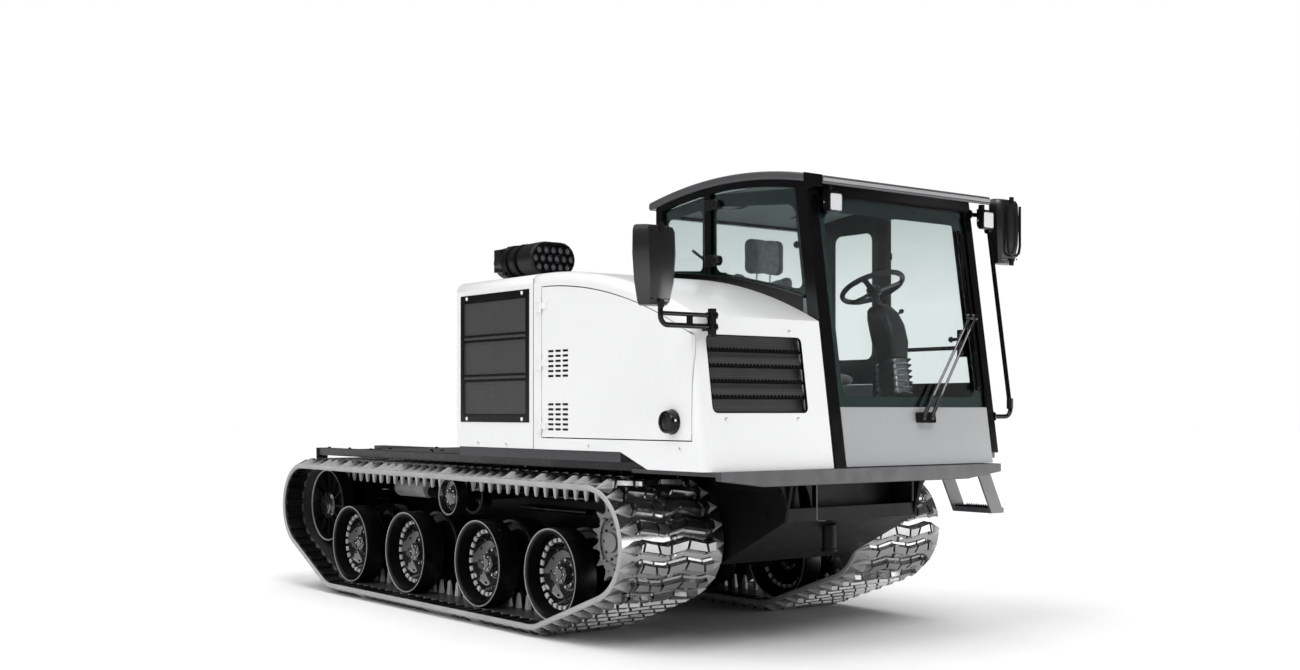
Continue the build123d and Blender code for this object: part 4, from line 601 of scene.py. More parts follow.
# Road wheels
def lathe_y(shape, x, y, z, way, profile, material, steps=64, ends=False):
    """Profile of (radius, distance outwards along Y) turned round an axle."""
    shape.lathe((x, y, z), (0, way, 0), profile, material, steps, ends)


def bolt_ring(shape, x, y, z, way, radius, count, size, material, turn=0.0):
    for i in range(count):
        angle = TAU * (i + turn) / count
        spot = (x + radius * math.cos(angle), y, z + radius * math.sin(angle))
        shape.bolt(spot, (0, way, 0), size, size * 0.9, material)


# Profiles of one half of a twin wheel: radius, distance from the middle of the twin
TYRE_BORE = TYRE_RADIUS - TYRE_WALL
RIM = TYRE_BORE - 0.0005
NEAR = DUAL_GAP / 2
FAR = NEAR + TYRE_WIDTH
DISC = FAR - 0.084
BOWL_FLOOR = FAR - 0.134
TYRE_OUT = TYRE_RADIUS - 0.0005
TREAD = ((TYRE_BORE, NEAR + 0.002), (0.258, NEAR), (0.265, NEAR + 0.006), (TYRE_OUT, NEAR + 0.014),
         (TYRE_OUT, FAR - 0.012), (0.2665, FAR - 0.004), (0.2645, FAR - 0.001))
LIP = ((0.2645, FAR - 0.001), (0.2605, FAR), (0.2575, FAR - 0.002))
WALL = ((0.2575, FAR - 0.002), (0.250, FAR - 0.006), (TYRE_BORE, FAR - 0.004))
BARREL = ((RIM, NEAR + 0.004), (RIM, FAR - 0.004), (RIM - 0.004, FAR - 0.003), (RIM - 0.010, FAR - 0.010),
          (RIM - 0.012, DISC), (0.174, DISC))
BOWL = ((0.174, DISC + 0.006), (0.166, DISC - 0.010), (0.150, DISC - 0.032), (0.128, DISC - 0.045),
        (0.105, BOWL_FLOOR + 0.001), (0.092, BOWL_FLOOR))
HUB = ((0.092, BOWL_FLOOR), (0.086, BOWL_FLOOR + 0.016), (0.066, BOWL_FLOOR + 0.018),
       (0.062, BOWL_FLOOR + 0.050), (0.056, BOWL_FLOOR + 0.058), (0.030, BOWL_FLOOR + 0.061),
       (0.027, BOWL_FLOOR + 0.066), (0.0, BOWL_FLOOR + 0.066))
BACK = ((RIM, NEAR + 0.010), (0.225, NEAR + 0.002), (0.170, NEAR - 0.018), (0.105, NEAR - 0.030))
# The tyre's lip takes the pale painted highlight
TYRE_PARTS = ((TREAD, TYRE), (LIP, EDGE_HIGHLIGHT), (WALL, TYRE))
RIM_PARTS = ((BARREL, CHASSIS), (BOWL, GLOSSY), (HUB, GLOSSY), (BACK, GLOSSY))
PADS = 24


def pad_ring(shape, x, y, z, way, inner, outer, lift):
    """Row of small bright blocks round a disc."""
    for i in range(PADS):
        ends = []
        for part in (-0.29, 0.29):
            angle = TAU * (i + part) / PADS
            c, s = math.cos(angle), math.sin(angle)
            section = ((inner, 0.0), (inner + 0.003, lift), (outer - 0.003, lift), (outer, 0.0))
            ends.append([Vector((x + r * c, y + way * d, z + r * s)) for r, d in section])
        shape.loft(ends, TOOTH)


def road_wheels(side_name):
    side = SIDES[side_name]
    tyres = Shape(side_name + "_tyre_bands")
    rims = Shape(side_name + "_wheel_dishes")
    y = side * TRACK_Y
    for x in AXLE_XS:
        for way in (side, -side):
            for profile, material in TYRE_PARTS:
                lathe_y(tyres, x, y, AXLE_Z, way, profile, material)
            for profile, material in RIM_PARTS:
                lathe_y(rims, x, y, AXLE_Z, way, profile, material)
            pad_ring(rims, x, y + way * DISC, AXLE_Z, way, 0.182, 0.208, 0.012)
            bolt_ring(rims, x, y + way * (DISC - 0.030), AXLE_Z, way, 0.150, 12, 0.008, IRON)
            bolt_ring(rims, x, y + way * (BOWL_FLOOR + 0.016), AXLE_Z, way, 0.077, 8, 0.009, STEEL)
            bolt_ring(rims, x, y + way * (BOWL_FLOOR + 0.060), AXLE_Z, way, 0.043, 6, 0.006, STEEL)
        lathe_y(rims, x, y, AXLE_Z, side, ((0.105, -0.07), (0.105, 0.07)), CHASSIS, 32)
    tyres.done(replaces=[side_name + "_tyres"])
    rims.done(replaces=[side_name + "_wheel_rims"])


# Sprocket, idler and return roller
def on_wheel(centre, y, way):
    """Places on a wheel's face, from its middle; depth runs outwards."""
    return lambda u, v, depth: Vector((centre.x + u, y + way * depth, centre.z + v))


def round_outline(count, steps):
    """Outline of a turned part with count like teeth, each from steps of (share of a tooth, radius)."""
    made = []
    for i in range(count):
        for share, radius in steps:
            angle = TAU * (i + share) / count
            made.append((radius * math.cos(angle), radius * math.sin(angle)))
    return made


# Outlines by share of a tooth and radius, then profiles by radius and distance outwards
TOOTH_STEPS = ((-0.34, 0.222), (-0.15, 0.246), (-0.045, 0.280), (0.045, 0.280), (0.15, 0.246), (0.34, 0.222))
COVER_STEPS = ((-0.5, 0.206), (-0.22, 0.206), (-0.16, 0.190), (0.16, 0.190), (0.22, 0.206))
DRUM = ((0.10, -0.112), (0.148, -0.110), (0.150, -0.106), (0.150, 0.106), (0.148, 0.110), (0.10, 0.112))
COVER = ((0.152, 0.124), (0.147, 0.136), (0.130, 0.140), (0.120, 0.150), (0.077, 0.156), (0.072, 0.172),
         (0.056, 0.176), (0.052, 0.188), (0.0, 0.190))
CASE = ((0.10, -0.112), (0.120, -0.114), (0.120, -0.190), (0.160, -0.196), (0.165, -0.205), (0.165, -0.368),
        (0.0, -0.368))


def drive_ends():
    sprockets = Shape("sprocket_wheels")
    covers = Shape("drive_covers")
    for side in SIDES.values():
        y = side * TRACK_Y
        spot = on_wheel(SPROCKET, y, side)
        for offset in (-0.092, 0.092):
            outline = round_outline(SPROCKET_TEETH, TOOTH_STEPS)
            sprockets.plate(spot, outline, offset - 0.013, offset + 0.013, CAST)
        lathe_y(sprockets, SPROCKET.x, y, SPROCKET.z, side, DRUM, CHASSIS, 48, True)
        covers.plate(spot, round_outline(18, COVER_STEPS), 0.106, 0.124, CAST)
        lathe_y(covers, SPROCKET.x, y, SPROCKET.z, side, COVER, CAST, 48)
        lathe_y(covers, SPROCKET.x, y, SPROCKET.z, side, CASE, CHASSIS, 40)
        for start in (0.05, 0.38, 0.71):
            rib = []
            for t in range(9):
                angle = TAU * (start + 0.22 * t / 8)
                section = ((0.166, 0.122), (0.169, 0.136), (0.179, 0.136), (0.182, 0.122))
                rib.append([spot(r * math.cos(angle), r * math.sin(angle), d) for r, d in section])
            covers.loft(rib, CAST)
        bolt_ring(covers, SPROCKET.x, y + side * 0.124, SPROCKET.z, side, 0.158, 12, 0.008, CHASSIS, 0.5)
        bolt_ring(covers, SPROCKET.x, y + side * 0.152, SPROCKET.z, side, 0.098, 10, 0.009, CHASSIS)
    sprockets.done(replaces=["sprockets"])
    covers.done(replaces=["final_drives"])


# Profiles of an idler and of a return roller: radius, distance outwards
IDLER_OUT = IDLER_BELT_RADIUS - 0.0005
IDLER_RIM = ((IDLER_OUT - 0.036, -0.045), (IDLER_OUT, -0.045), (IDLER_OUT, 0.040), (IDLER_OUT - 0.004, 0.045),
             (IDLER_OUT - 0.014, 0.045))
IDLER_LIP = ((IDLER_OUT - 0.014, 0.045), (IDLER_OUT - 0.019, 0.043), (IDLER_OUT - 0.022, 0.038))
IDLER_DISH = ((IDLER_OUT - 0.022, 0.038), (IDLER_OUT - 0.036, -0.002), (0.09, -0.004))
IDLER_HUB = ((0.100, -0.004), (0.098, 0.030), (0.088, 0.036), (0.080, 0.040), (0.074, 0.052), (0.056, 0.056),
             (0.052, 0.064), (0.0, 0.066))
IDLER_SPOKES = 12
ROLLER_TREAD = ((0.105, 0.050), (0.119, 0.050), (0.1245, 0.056), (0.1245, 0.124), (0.122, 0.129),
                (0.119, 0.130))
ROLLER_LIP = ((0.119, 0.130), (0.115, 0.130), (0.112, 0.126))
ROLLER_DISH = ((0.112, 0.126), (0.102, 0.088), (0.072, 0.080), (0.060, 0.098), (0.050, 0.108), (0.030, 0.110),
               (0.0, 0.112))
# The lips of idlers and rollers take the pale painted highlight
IDLER_PARTS = ((IDLER_RIM, CHASSIS), (IDLER_LIP, EDGE_HIGHLIGHT), (IDLER_DISH, CHASSIS), (IDLER_HUB, GLOSSY))
ROLLER_PARTS = ((ROLLER_TREAD, TYRE), (ROLLER_LIP, EDGE_HIGHLIGHT), (ROLLER_DISH, GLOSSY))
# Spoke of an idler from the hub out: radius, height
IDLER_SPOKE = ((0.080, 0.034), (0.145, 0.024), (IDLER_OUT - 0.030, 0.030))


def idlers_and_rollers():
    idlers = Shape("idler_wheels")
    rollers = Shape("return_roller_wheels")
    low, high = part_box("return_rollers")
    roller_z = (low.z + high.z) / 2
    for side in SIDES.values():
        y = side * TRACK_Y
        for way in (side, -side):
            centre_y = y + way * 0.095
            for profile, material in IDLER_PARTS:
                lathe_y(idlers, IDLER.x, centre_y, IDLER.z, way, profile, material, 56)
            middle = Matrix.Translation((IDLER.x, centre_y, IDLER.z))
            for i in range(IDLER_SPOKES):
                turn = middle @ Matrix.Rotation(TAU * i / IDLER_SPOKES, 4, "Y")
                rib = []
                for r, top in IDLER_SPOKE:
                    section = ((-0.005, -0.011), (top, -0.006), (top, 0.006), (-0.005, 0.011))
                    rib.append([turn @ Vector((r, way * d, w)) for d, w in section])
                idlers.loft(rib, CHASSIS)
            bolt_ring(idlers, IDLER.x, centre_y + way * 0.036, IDLER.z, way, 0.084, 10, 0.006, IRON)
            for profile, material in ROLLER_PARTS:
                lathe_y(rollers, ROLLER_X, y, roller_z, way, profile, material, 48)
            bolt_ring(rollers, ROLLER_X, y + way * 0.106, roller_z, way, 0.050, 8, 0.006, STEEL)
        lathe_y(idlers, IDLER.x, y, IDLER.z, side, ((0.075, -0.14), (0.075, 0.14)), CHASSIS, 32)
        lathe_y(idlers, IDLER.x, y, IDLER.z, side, ((0.045, -0.37), (0.045, 0.0)), IRON, 32)
        lathe_y(rollers, ROLLER_X, y, roller_z, side, ((0.032, -0.37), (0.032, 0.1)), IRON, 24)
    idlers.done(replaces=["idlers"])
    rollers.done(replaces=["return_rollers"])


# Tensioners on the tub's sides
TUB_SIDE = 0.500
# Bars along a side: rear and front X, distance out, height, radius, material
BARS = ((-0.20, 0.56, 0.030, 0.735, 0.020, GLOSSY), (-0.20, 0.545, 0.030, 0.650, 0.016, IRON),
        (-1.75, -1.33, 0.075, 0.715, 0.060, TOOTH), (-2.02, -1.75, 0.075, 0.715, 0.028, STEEL),
        (-1.33, -0.98, 0.055, 0.700, 0.040, CHASSIS), (0.70, 1.16, 0.040, 0.800, 0.030, GLOSSY))


def side_bars():
    made = Shape("tensioners")
    for side in SIDES.values():
        for rear, front, out, z, radius, material in BARS:
            y = side * (TUB_SIDE + out)
            edge = radius * 0.12
            long = front - rear
            profile = ((radius - edge, 0), (radius, edge), (radius, long - edge), (radius - edge, long))
            made.lathe((rear, y, z), AHEAD, profile, material, 24, True)
            for x in (rear + 0.04, front - 0.06):
                low = (x, min(y, side * (TUB_SIDE - 0.004)), z - radius * 0.7)
                high = (x + 0.03, max(y, side * (TUB_SIDE - 0.004)), z + radius * 0.7)
                made.box(low, high, CHASSIS)
    made.done()


# Air cleaner
def stadium(y, z, half_wide, half_high, steps=10):
    """Oval of two half circles joined by straights, as (y, z) points."""
    straight = half_wide - half_high
    made = []
    for way in (1, -1):
        for i in range(steps + 1):
            angle = -math.pi / 2 + math.pi * i / steps
            out = straight + half_high * math.cos(angle)
            made.append((y + way * out, z + way * half_high * math.sin(angle)))
    return made


# Canister along its length: distance from its rear end, share of its full section
CANISTER = ((0.020, 0.70), (0.0, 0.80), (0.004, 0.88), (0.022, 0.94), (0.110, 0.97), (0.116, 0.92),
            (0.290, 0.92), (0.296, 0.97), (0.425, 0.99), (0.446, 0.99), (0.456, 0.95), (0.456, 0.88),
            (0.438, 0.87))
# Strap round the canister: distance along it, share of its full section
STRAP = ((0, 0.92), (0.004, 1.0), (0.028, 1.0), (0.032, 0.92))
# Rows of tubes in its front: height, count
TUBE_ROWS = ((0.050, 5), (0.0, 6), (-0.050, 5))
TUBE_PITCH = 0.0505
TUBE = ((0.0215, 0), (0.0215, 0.020), (0.0185, 0.022), (0.0170, 0.012))
TUBE_FLOOR = ((0.0170, 0.012), (0.0, 0.012))
# Fittings on its sides and top: two corners each, from the middle of its rear end
CANISTER_BLOCKS = (
    ((0.015, -0.145, -0.060), (0.095, -0.100, 0.078)), ((0.030, -0.150, -0.020), (0.120, -0.120, 0.040)),
    ((0.105, -0.140, -0.085), (0.135, -0.110, 0.070)), ((0.02, 0.095, -0.055), (0.10, 0.140, 0.060)),
    ((0.03, -0.06, 0.070), (0.12, 0.06, 0.104)),
)


def air_cleaner():
    low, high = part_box("air_cleaner")
    rear = low.x
    y = (low.y + high.y) / 2 - 0.020
    z = high.z - 0.092
    made = Shape("air_cleaner_canister")

    def oval(x, share):
        return [Vector((x, py, pz)) for py, pz in stadium(y, z, 0.160 * share, 0.102 * share)]

    made.loft([oval(rear + x, share) for x, share in CANISTER], PLASTIC)
    for height, count in TUBE_ROWS:
        for i in range(count):
            spot = (rear + 0.436, y + (i - (count - 1) / 2) * TUBE_PITCH, z + height)
            made.lathe(spot, AHEAD, TUBE, PLASTIC, 20)
            made.lathe(spot, AHEAD, TUBE_FLOOR, STEP_GREY, 20)
    for x in (0.135, 0.235):
        made.loft([oval(rear + x + dx, share) for dx, share in STRAP], CHASSIS)
        made.box((-0.004, -0.02, 0.088), (0.036, 0.02, 0.103), CHASSIS, (rear + x, y, z))
    made.box((0.06, -0.07, HOOD_TOP - z), (0.40, 0.07, -0.080), PLASTIC, (rear, y, z))
    for near, far in CANISTER_BLOCKS:
        made.box(near, far, PLASTIC, (rear, y, z))
    made.dome((rear + 0.002, y - 0.03, z + 0.01), ASTERN, 0.045, 0.002, PLASTIC)
    made.done(replaces=["air_cleaner"], bevel=0.003)


# Engine bay panels
GRILLE = (0.028, 0.797, 1.206, 1.974)       # rear and front X, lower and upper edge
LEFT_GRILLE_Y = -0.235
FRAME_WIDE = 0.038
GRILLE_RIB = 0.024
GRILLE_PANELS = 3
GRILLE_NOTCHES = 44


def on_left_grille(x, z, depth):
    """Place on the engine bay's left grille, depth behind its face."""
    return Vector((x, LEFT_GRILLE_Y - depth, z))


def side_grille_trim():
    made = Shape("side_grille_frames")
    inset = shrunk(GRILLE, FRAME_WIDE)
    rear, front, foot, head = inset
    pitch = (head - foot + GRILLE_RIB) / GRILLE_PANELS
    for place, way in ((on_right, -1), (on_left_grille, 1)):
        made.frame(place, rounded(*GRILLE, 0.004), rounded(*inset, 0.004), -0.0025, 0.001, BLACK)
        for i in range(GRILLE_PANELS):
            low = foot + i * pitch
            top = low + pitch - GRILLE_RIB
            for z in (low, top):
                made.plate(place, rectangle(rear, front, z - 0.004, z + 0.004), -0.0015, 0.005, BLACK)
            for k in range(GRILLE_NOTCHES):
                x = rear + (k + 0.5) * (front - rear) / GRILLE_NOTCHES
                for z, up in ((low + 0.004, 1), (top - 0.004, -1)):
                    notch = ((x - 0.005, z), (x + 0.005, z), (x, z + up * 0.007))
                    made.plate(place, notch, 0.001, 0.005, BLACK)
        for x in (GRILLE[0] + 0.075, GRILLE[1] - 0.075):
            for z in (GRILLE[2] + 0.019, GRILLE[3] - 0.019):
                made.dome(place(x, z, -0.002), (0, way, 0), 0.012, 0.007, WHITE)
    made.done()


FRONT_GRILLE = (-1.030, -0.380, 1.262, 1.657)       # right and left Y, lower and upper edge
FRONT_BANDS = 5
SERRATIONS = 26


def front_grille_trim():
    made = Shape("front_grille_trim")
    right, left, foot, head = FRONT_GRILLE
    opening = rounded(*FRONT_GRILLE, 0.028)
    made.frame(on_front, rounded(*FRONT_GRILLE, 0.0005), opening, -0.0015, 0.004, WHITE)
    rim = rounded(*shrunk(FRONT_GRILLE, 0.005), 0.024)
    made.frame(on_front, opening, rim, -0.001, 0.012, BLACK)
    band = (head - foot) / FRONT_BANDS
    pitch = (left - right - 0.012) / SERRATIONS
    for line in range(1, FRONT_BANDS):
        z = foot + line * band
        depth = 0.006 if line % 2 else 0.010
        for i in range(SERRATIONS):
            y = right + 0.006 + (i + 0.5) * pitch
            tooth = ((y - 0.5 * pitch, z - 0.009), (y + 0.5 * pitch, z - 0.009), (y + 0.5 * pitch, z),
                     (y + 0.15 * pitch, z + 0.014), (y - 0.15 * pitch, z + 0.014), (y - 0.5 * pitch, z))
            made.plate(on_front, tooth, depth, depth + 0.006, BLACK)
    for y in (right + 0.08, left - 0.08):
        for z in (foot - 0.030, head + 0.030):
            made.dome(on_front(y, z, 0), (1, 0, 0.15), 0.010, 0.006, STEEL)
    made.done()


# Bolts on the white sill: X, height
SILL_BOLTS = ((0.236, 1.081), (0.555, 1.079), (1.390, 1.083), (2.182, 1.081))


def hood_details():
    made = Shape("hood_bolts")
    for x, z in SILL_BOLTS:
        made.dome(on_right(x, z, 0), RIGHTWARD, 0.011, 0.006, STEEL)
        made.lathe(on_right(x, z, 0.0005), RIGHTWARD, ((0.016, 0), (0.016, 0.002), (0.0, 0.002)), WHITE, 16)
    for x in (0.10, 0.40, 0.70):
        made.dome((x, -1.02, HOOD_TOP), UP, 0.010, 0.005, WHITE)
        made.dome((x, -0.33, HOOD_TOP), UP, 0.010, 0.005, WHITE)
    for y in (-0.90, -0.50):
        made.dome((0.06, y, HOOD_TOP), UP, 0.010, 0.005, WHITE)
    made.done()


# Seams between the white panels: X and height of their lower and upper ends. Grey strips set in them are
# painted shade in the gaps.
SEAMS = ((0.840, 1.060, 0.840, 2.030), (0.919, 1.125, 0.919, 1.975), (2.272, 1.125, 2.190, 1.640))
# Slots in the engine door: rear X, lowest row of each group, length, height, pitches, columns and rows
SLOT_X = 0.990
SLOT_ZS = (1.163, 1.462)
SLOT = (0.055, 0.013)
SLOT_PITCH = (0.072, 0.028)
SLOT_COUNT = (3, 6)


def panel_seams():
    made = Shape("panel_seams")
    for x0, z0, x1, z1 in SEAMS:
        outline = ((x0 - 0.0022, z0), (x0 + 0.0022, z0), (x1 + 0.0022, z1), (x1 - 0.0022, z1))
        # Grey strip in the seam: painted shade
        made.plate(on_right, outline, 0.0012, 0.004, STEP_GREY)
    made.done()
    # Black boxes inside the door's slots: painted shade in the openings
    slot_shades = Shape("engine_door_slot_shade_boxes")
    for low in SLOT_ZS:
        for column in range(SLOT_COUNT[0]):
            for row in range(SLOT_COUNT[1]):
                x = SLOT_X + column * SLOT_PITCH[0]
                z = low + row * SLOT_PITCH[1]
                slot_shades.box((x, BODY_RIGHT + 0.003, z), (x + SLOT[0], BODY_RIGHT + 0.025, z + SLOT[1]), BLACK)
    slot_shades.done("engine_door_panel")


# Engine door's latch: X and height of its middle, profile by radius and distance outwards
LATCH = (2.117, 1.217)
LATCH_RING = ((0.064, 0.0), (0.064, 0.008), (0.060, 0.012), (0.058, 0.040), (0.054, 0.048), (0.046, 0.050),
              (0.043, 0.045))


def engine_door_latch():
    made = Shape("engine_door_latch_cup")
    spot = on_right(*LATCH, 0)
    made.lathe(spot, RIGHTWARD, LATCH_RING, BLACK, 40)
    half = [(0.044 * math.cos(TAU * i / 40), 0.044 * math.sin(TAU * i / 40)) for i in range(-10, 11)]
    for way in (1, -1):
        arc = [(way * u, v) for u, v in half]
        rows = [[on_right(LATCH[0] + u * share, LATCH[1] + v, -0.050 + 0.008 * share) for u, v in arc]
                for share in (1.0, 0.5, 0.0)]
        made.loft(rows, BLACK, ends=False, around=False)
    # Small white dome on the cup's side: a painted highlight
    made.dome(on_right(LATCH[0] + 0.0585, LATCH[1] + 0.008, -0.026), AHEAD, 0.007, 0.003, WHITE)
    made.done("engine_door_panel", ["engine_door_latch"])


# Nose and chassis front
NOSE_CHEEK = ((2.120, 0.940), (2.276, 0.940), (2.276, 0.720), (2.262, 0.700), (2.160, 0.700))
# Thin grey rods along the nose plates' edges: painted highlights on those edges
NOSE_EDGE_HIGHLIGHT = ((2.281, -0.270, 0.930), (2.281, -0.270, 0.700), (2.276, -0.262, 0.690), (2.276, -0.200, 0.688))
# Drain tube under the nose: radius, height
DRAIN = ((0.034, 0.0), (0.038, -0.004), (0.038, -0.130), (0.042, -0.134), (0.042, -0.148), (0.030, -0.150),
         (0.0, -0.146))


def nose_details():
    made = Shape("nose_fittings")
    for y in (-0.270, 0.470):
        made.plate(upright(y), NOSE_CHEEK, 0.0, 0.008, GLOSSY)
    made.box((2.112, -0.478, 0.680), (2.124, 0.478, 0.944), CHASSIS)
    # Grey rods on the plates' edges are painted highlights
    made.tube(NOSE_EDGE_HIGHLIGHT, 0.0025, CAST, 8)
    made.tube([(2.281, 0.474, 0.930), (2.281, 0.474, 0.770)], 0.0025, CAST, 8)
    gusset = [(-0.300, 0.944)]
    for i in range(9):
        angle = TAU * i / 32
        gusset.append((-0.300 - 0.150 * (1 - math.sin(angle)), 0.944 - 0.235 * (1 - math.cos(angle))))
    made.plate(facing_front(2.262, 0, 0), gusset, 0.0, -0.014, CHASSIS)
    made.lathe((2.200, -0.100, 0.660), UP, DRAIN, CHASSIS, 28)
    for side in SIDES.values():
        for x, z in ((2.16, 0.900), (2.24, 0.860), (2.14, 0.720)):
            made.bolt((x, side * 0.500, z), (0, side, 0), 0.014, 0.010, CHASSIS)
        for y in (0.54, 0.60):
            made.bolt((2.300, side * y, 0.915), AHEAD, 0.011, 0.008, CHASSIS)
        inner, outer = sorted((side * 0.52, side * 0.545))
        made.box((1.74, inner, 0.844), (2.28, outer, 0.944), CHASSIS)
    made.done(bevel=0.002)


def step_tread():
    low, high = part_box("cab_step")
    made = Shape("step_tread")
    inner, outer = high.y - 0.110, high.y
    count = 15
    pitch = (high.x - low.x - 0.03) / count
    for row_y in (inner + 0.004, outer - 0.010):
        for i in range(count):
            x = low.x + 0.015 + i * pitch
            tooth = ((x, 0.704), (x + pitch * 0.5, 0.720), (x + pitch, 0.704))
            made.plate(upright(row_y), tooth, 0.0, 0.006, CHASSIS)
    for i in range(6):
        x = low.x + 0.03 + i * (high.x - low.x - 0.06) / 5
        made.box((x - 0.004, inner + 0.01, 0.704), (x + 0.004, outer - 0.01, 0.712), CHASSIS)
    made.done()


# Deck plates: rear and front X, then the height of the deck
PLATES = ((-1.32, -0.62), (-0.60, -0.06))
DECK_TOP = 1.0


def deck_fittings():
    made = Shape("deck_plates")
    made.box((-2.322, -0.520, 0.560), (-2.310, 0.520, 0.944), CHASSIS)
    for side in SIDES.values():
        for i, (rear, front) in enumerate(PLATES):
            y0, y1 = sorted((side * 0.955, side * 0.520))
            made.box((rear, y0, 1.0005), (front, y1, 1.0105 + 0.003 * i), RAIL)
            for x in (rear + 0.06, front - 0.06):
                for y in (0.925, 0.560):
                    made.bolt((x, side * y, 1.0105), UP, 0.012, 0.010, CHASSIS)
        for i in range(9):
            made.bolt((-2.20 + i * 0.33, side * 0.930, DECK_TOP), UP, 0.011, 0.009, CHASSIS)
        made.box((-2.333, -0.045, 0.900), (-2.325, 0.045, DECK_TOP), RAIL, (0, side * 0.93, 0))
        made.box((-2.330, -0.05, 0.800), (-2.320, 0.05, 0.900), CHASSIS, (0, side * 0.44, 0))
    made.done(bevel=0.002)


# Mirrors, lamps and wiper
# Section up a mirror's shell: share of its height, width and depth
SHELL_LEVELS = ((-0.5, 0.56, 0.40), (-0.488, 0.66, 0.62), (-0.45, 0.73, 0.80), (-0.2, 0.90, 0.97),
                (0.15, 1.0, 1.0), (0.42, 0.98, 0.92), (0.478, 0.93, 0.80), (0.498, 0.82, 0.55))
# Outline seen from above: depth towards the front, place across from the outer edge
SHELL_OUTLINE = ((-0.5, -0.46), (-0.46, -0.49), (-0.34, -0.5), (0.38, -0.31), (0.47, -0.12), (0.5, 0.03),
                 (0.48, 0.18), (0.36, 0.37), (0.15, 0.47), (-0.36, 0.5), (-0.5, 0.46))
MIRROR = (0.095, 0.230, 0.390)      # depth, width, height
# Wire loop in front of the left mirror: across, up
LOOP = ((-0.055, 0.150), (-0.055, -0.090), (-0.045, -0.130), (-0.018, -0.150), (0.018, -0.150),
        (0.045, -0.130), (0.055, -0.090), (0.055, 0.150))
# Mirror glass: shares of the shell's width and height
MIRROR_GLASS = ((-0.34, -0.42), (0.34, -0.42), (0.41, 0.1), (0.40, 0.43), (-0.40, 0.43), (-0.41, 0.1))


def mirrors():
    low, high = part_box("mirrors")
    deep, wide, tall = MIRROR
    right_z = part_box("right_mirror_arm")[1].z + tall / 2
    left_z = high.z - tall / 2
    places = ((front_x(right_z) + 0.105, low.y + wide / 2, right_z, -1),
              (front_x(left_z) + 0.030, high.y - wide / 2, left_z, 1))
    glass = [(wide * u, tall * v) for u, v in MIRROR_GLASS]
    shells = Shape("mirror_shells")
    for x, y, z, side in places:
        rear = x - deep / 2
        rings = []
        for share, across, depth in SHELL_LEVELS:
            outline = [(deep * (0.5 + px) * depth, side * wide * py * across) for px, py in SHELL_OUTLINE]
            rings.append([Vector((rear + ahead, y - out, z + tall * share)) for ahead, out in outline])
        shells.loft(rings, SHELL)
        shells.plate(facing_front(rear, y, z), glass, 0.001, -0.003, STEEL)
        for dz in (-0.165, 0.165):
            for dy in (-0.05, 0.05):
                shells.dome((x + 0.034, y + dy, z + dz), AHEAD, 0.005, 0.006, CHASSIS)
            shells.box((0.030, -0.012, -0.02), (0.046, 0.012, 0.02), PLASTIC, (x, y, z + dz * 1.12))
    x, y, z, side = places[1]
    shells.tube([(x + 0.056, y + across, z + up) for across, up in LOOP], 0.008, PLASTIC, 10)
    shells.done(replaces=["mirrors"], sharp=24)


# Clamp at an end of the handrail, and sleeve on it: radius, distance along
CLAMP = ((0.030, 0), (0.030, 0.010), (0.024, 0.014), (0.018, 0.030), (0.014, 0.030))
SLEEVE = ((0.019, 0), (0.019, 0.06), (0.014, 0.062))


def arm_fittings():
    """Clamps and bolts on the mirror arm, and clamps at the handrail's ends."""
    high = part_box("right_mirror_arm")[1]
    made = Shape("arm_clamps")
    x = high.x - 0.015
    root = high.y - 0.015
    top = high.z
    for z in (top - 0.034, top - 0.090):
        made.box((-0.022, -0.024, -0.016), (0.020, 0.022, 0.016), CHASSIS, (x, root, z))
        made.bolt((x + 0.020, root + 0.010, z), AHEAD, 0.009, 0.010, CHASSIS)
        made.bolt((x - 0.005, root + 0.022, z), LEFTWARD, 0.009, 0.014, CHASSIS)
    made.box((-0.012, -0.155, -0.090), (0.010, -0.130, -0.034), BLACK, (x, root, top))
    made.box((-0.060, -0.075, -0.092), (-0.010, -0.020, -0.034), WHITE, (x, root, top))
    for z in (1.240, 2.440):
        spot = (front_x(z) - 0.022, CAB_LEFT, z)
        made.lathe(spot, LEFTWARD, CLAMP, BLACK, 24)
        made.box((-0.045, 0, -0.022), (0.030, 0.006, 0.022), BLACK, spot)
    made.lathe((front_x(1.30) + 0.008, 1.250, 1.285), UP, SLEEVE, BLACK, 20)
    made.done(bevel=0.002)


def lamp_places():
    low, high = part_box("work_lights")
    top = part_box("windshield")[1].z + 0.010
    x = front_x(top - 0.105) + 0.006
    return [(x, low.y + 0.050, top), (x, high.y - 0.050, top)]

# Outlines of a lamp, and its shell and bowl as outlines at depths
LAMP_OUTER = rounded(-0.050, 0.050, -0.0525, 0.0525, 0.014)
LAMP_INNER = rounded(-0.042, 0.042, -0.0445, 0.0445, 0.010)
LAMP_BACK = rounded(-0.036, 0.036, -0.040, 0.040, 0.012)
LAMP_SHELL = ((LAMP_INNER, 0.0), (LAMP_OUTER, 0.003), (LAMP_OUTER, 0.040), (LAMP_BACK, 0.060))
LAMP_BOWL = ((LAMP_INNER, 0.0), (LAMP_INNER, 0.006), (LAMP_BACK, 0.036))


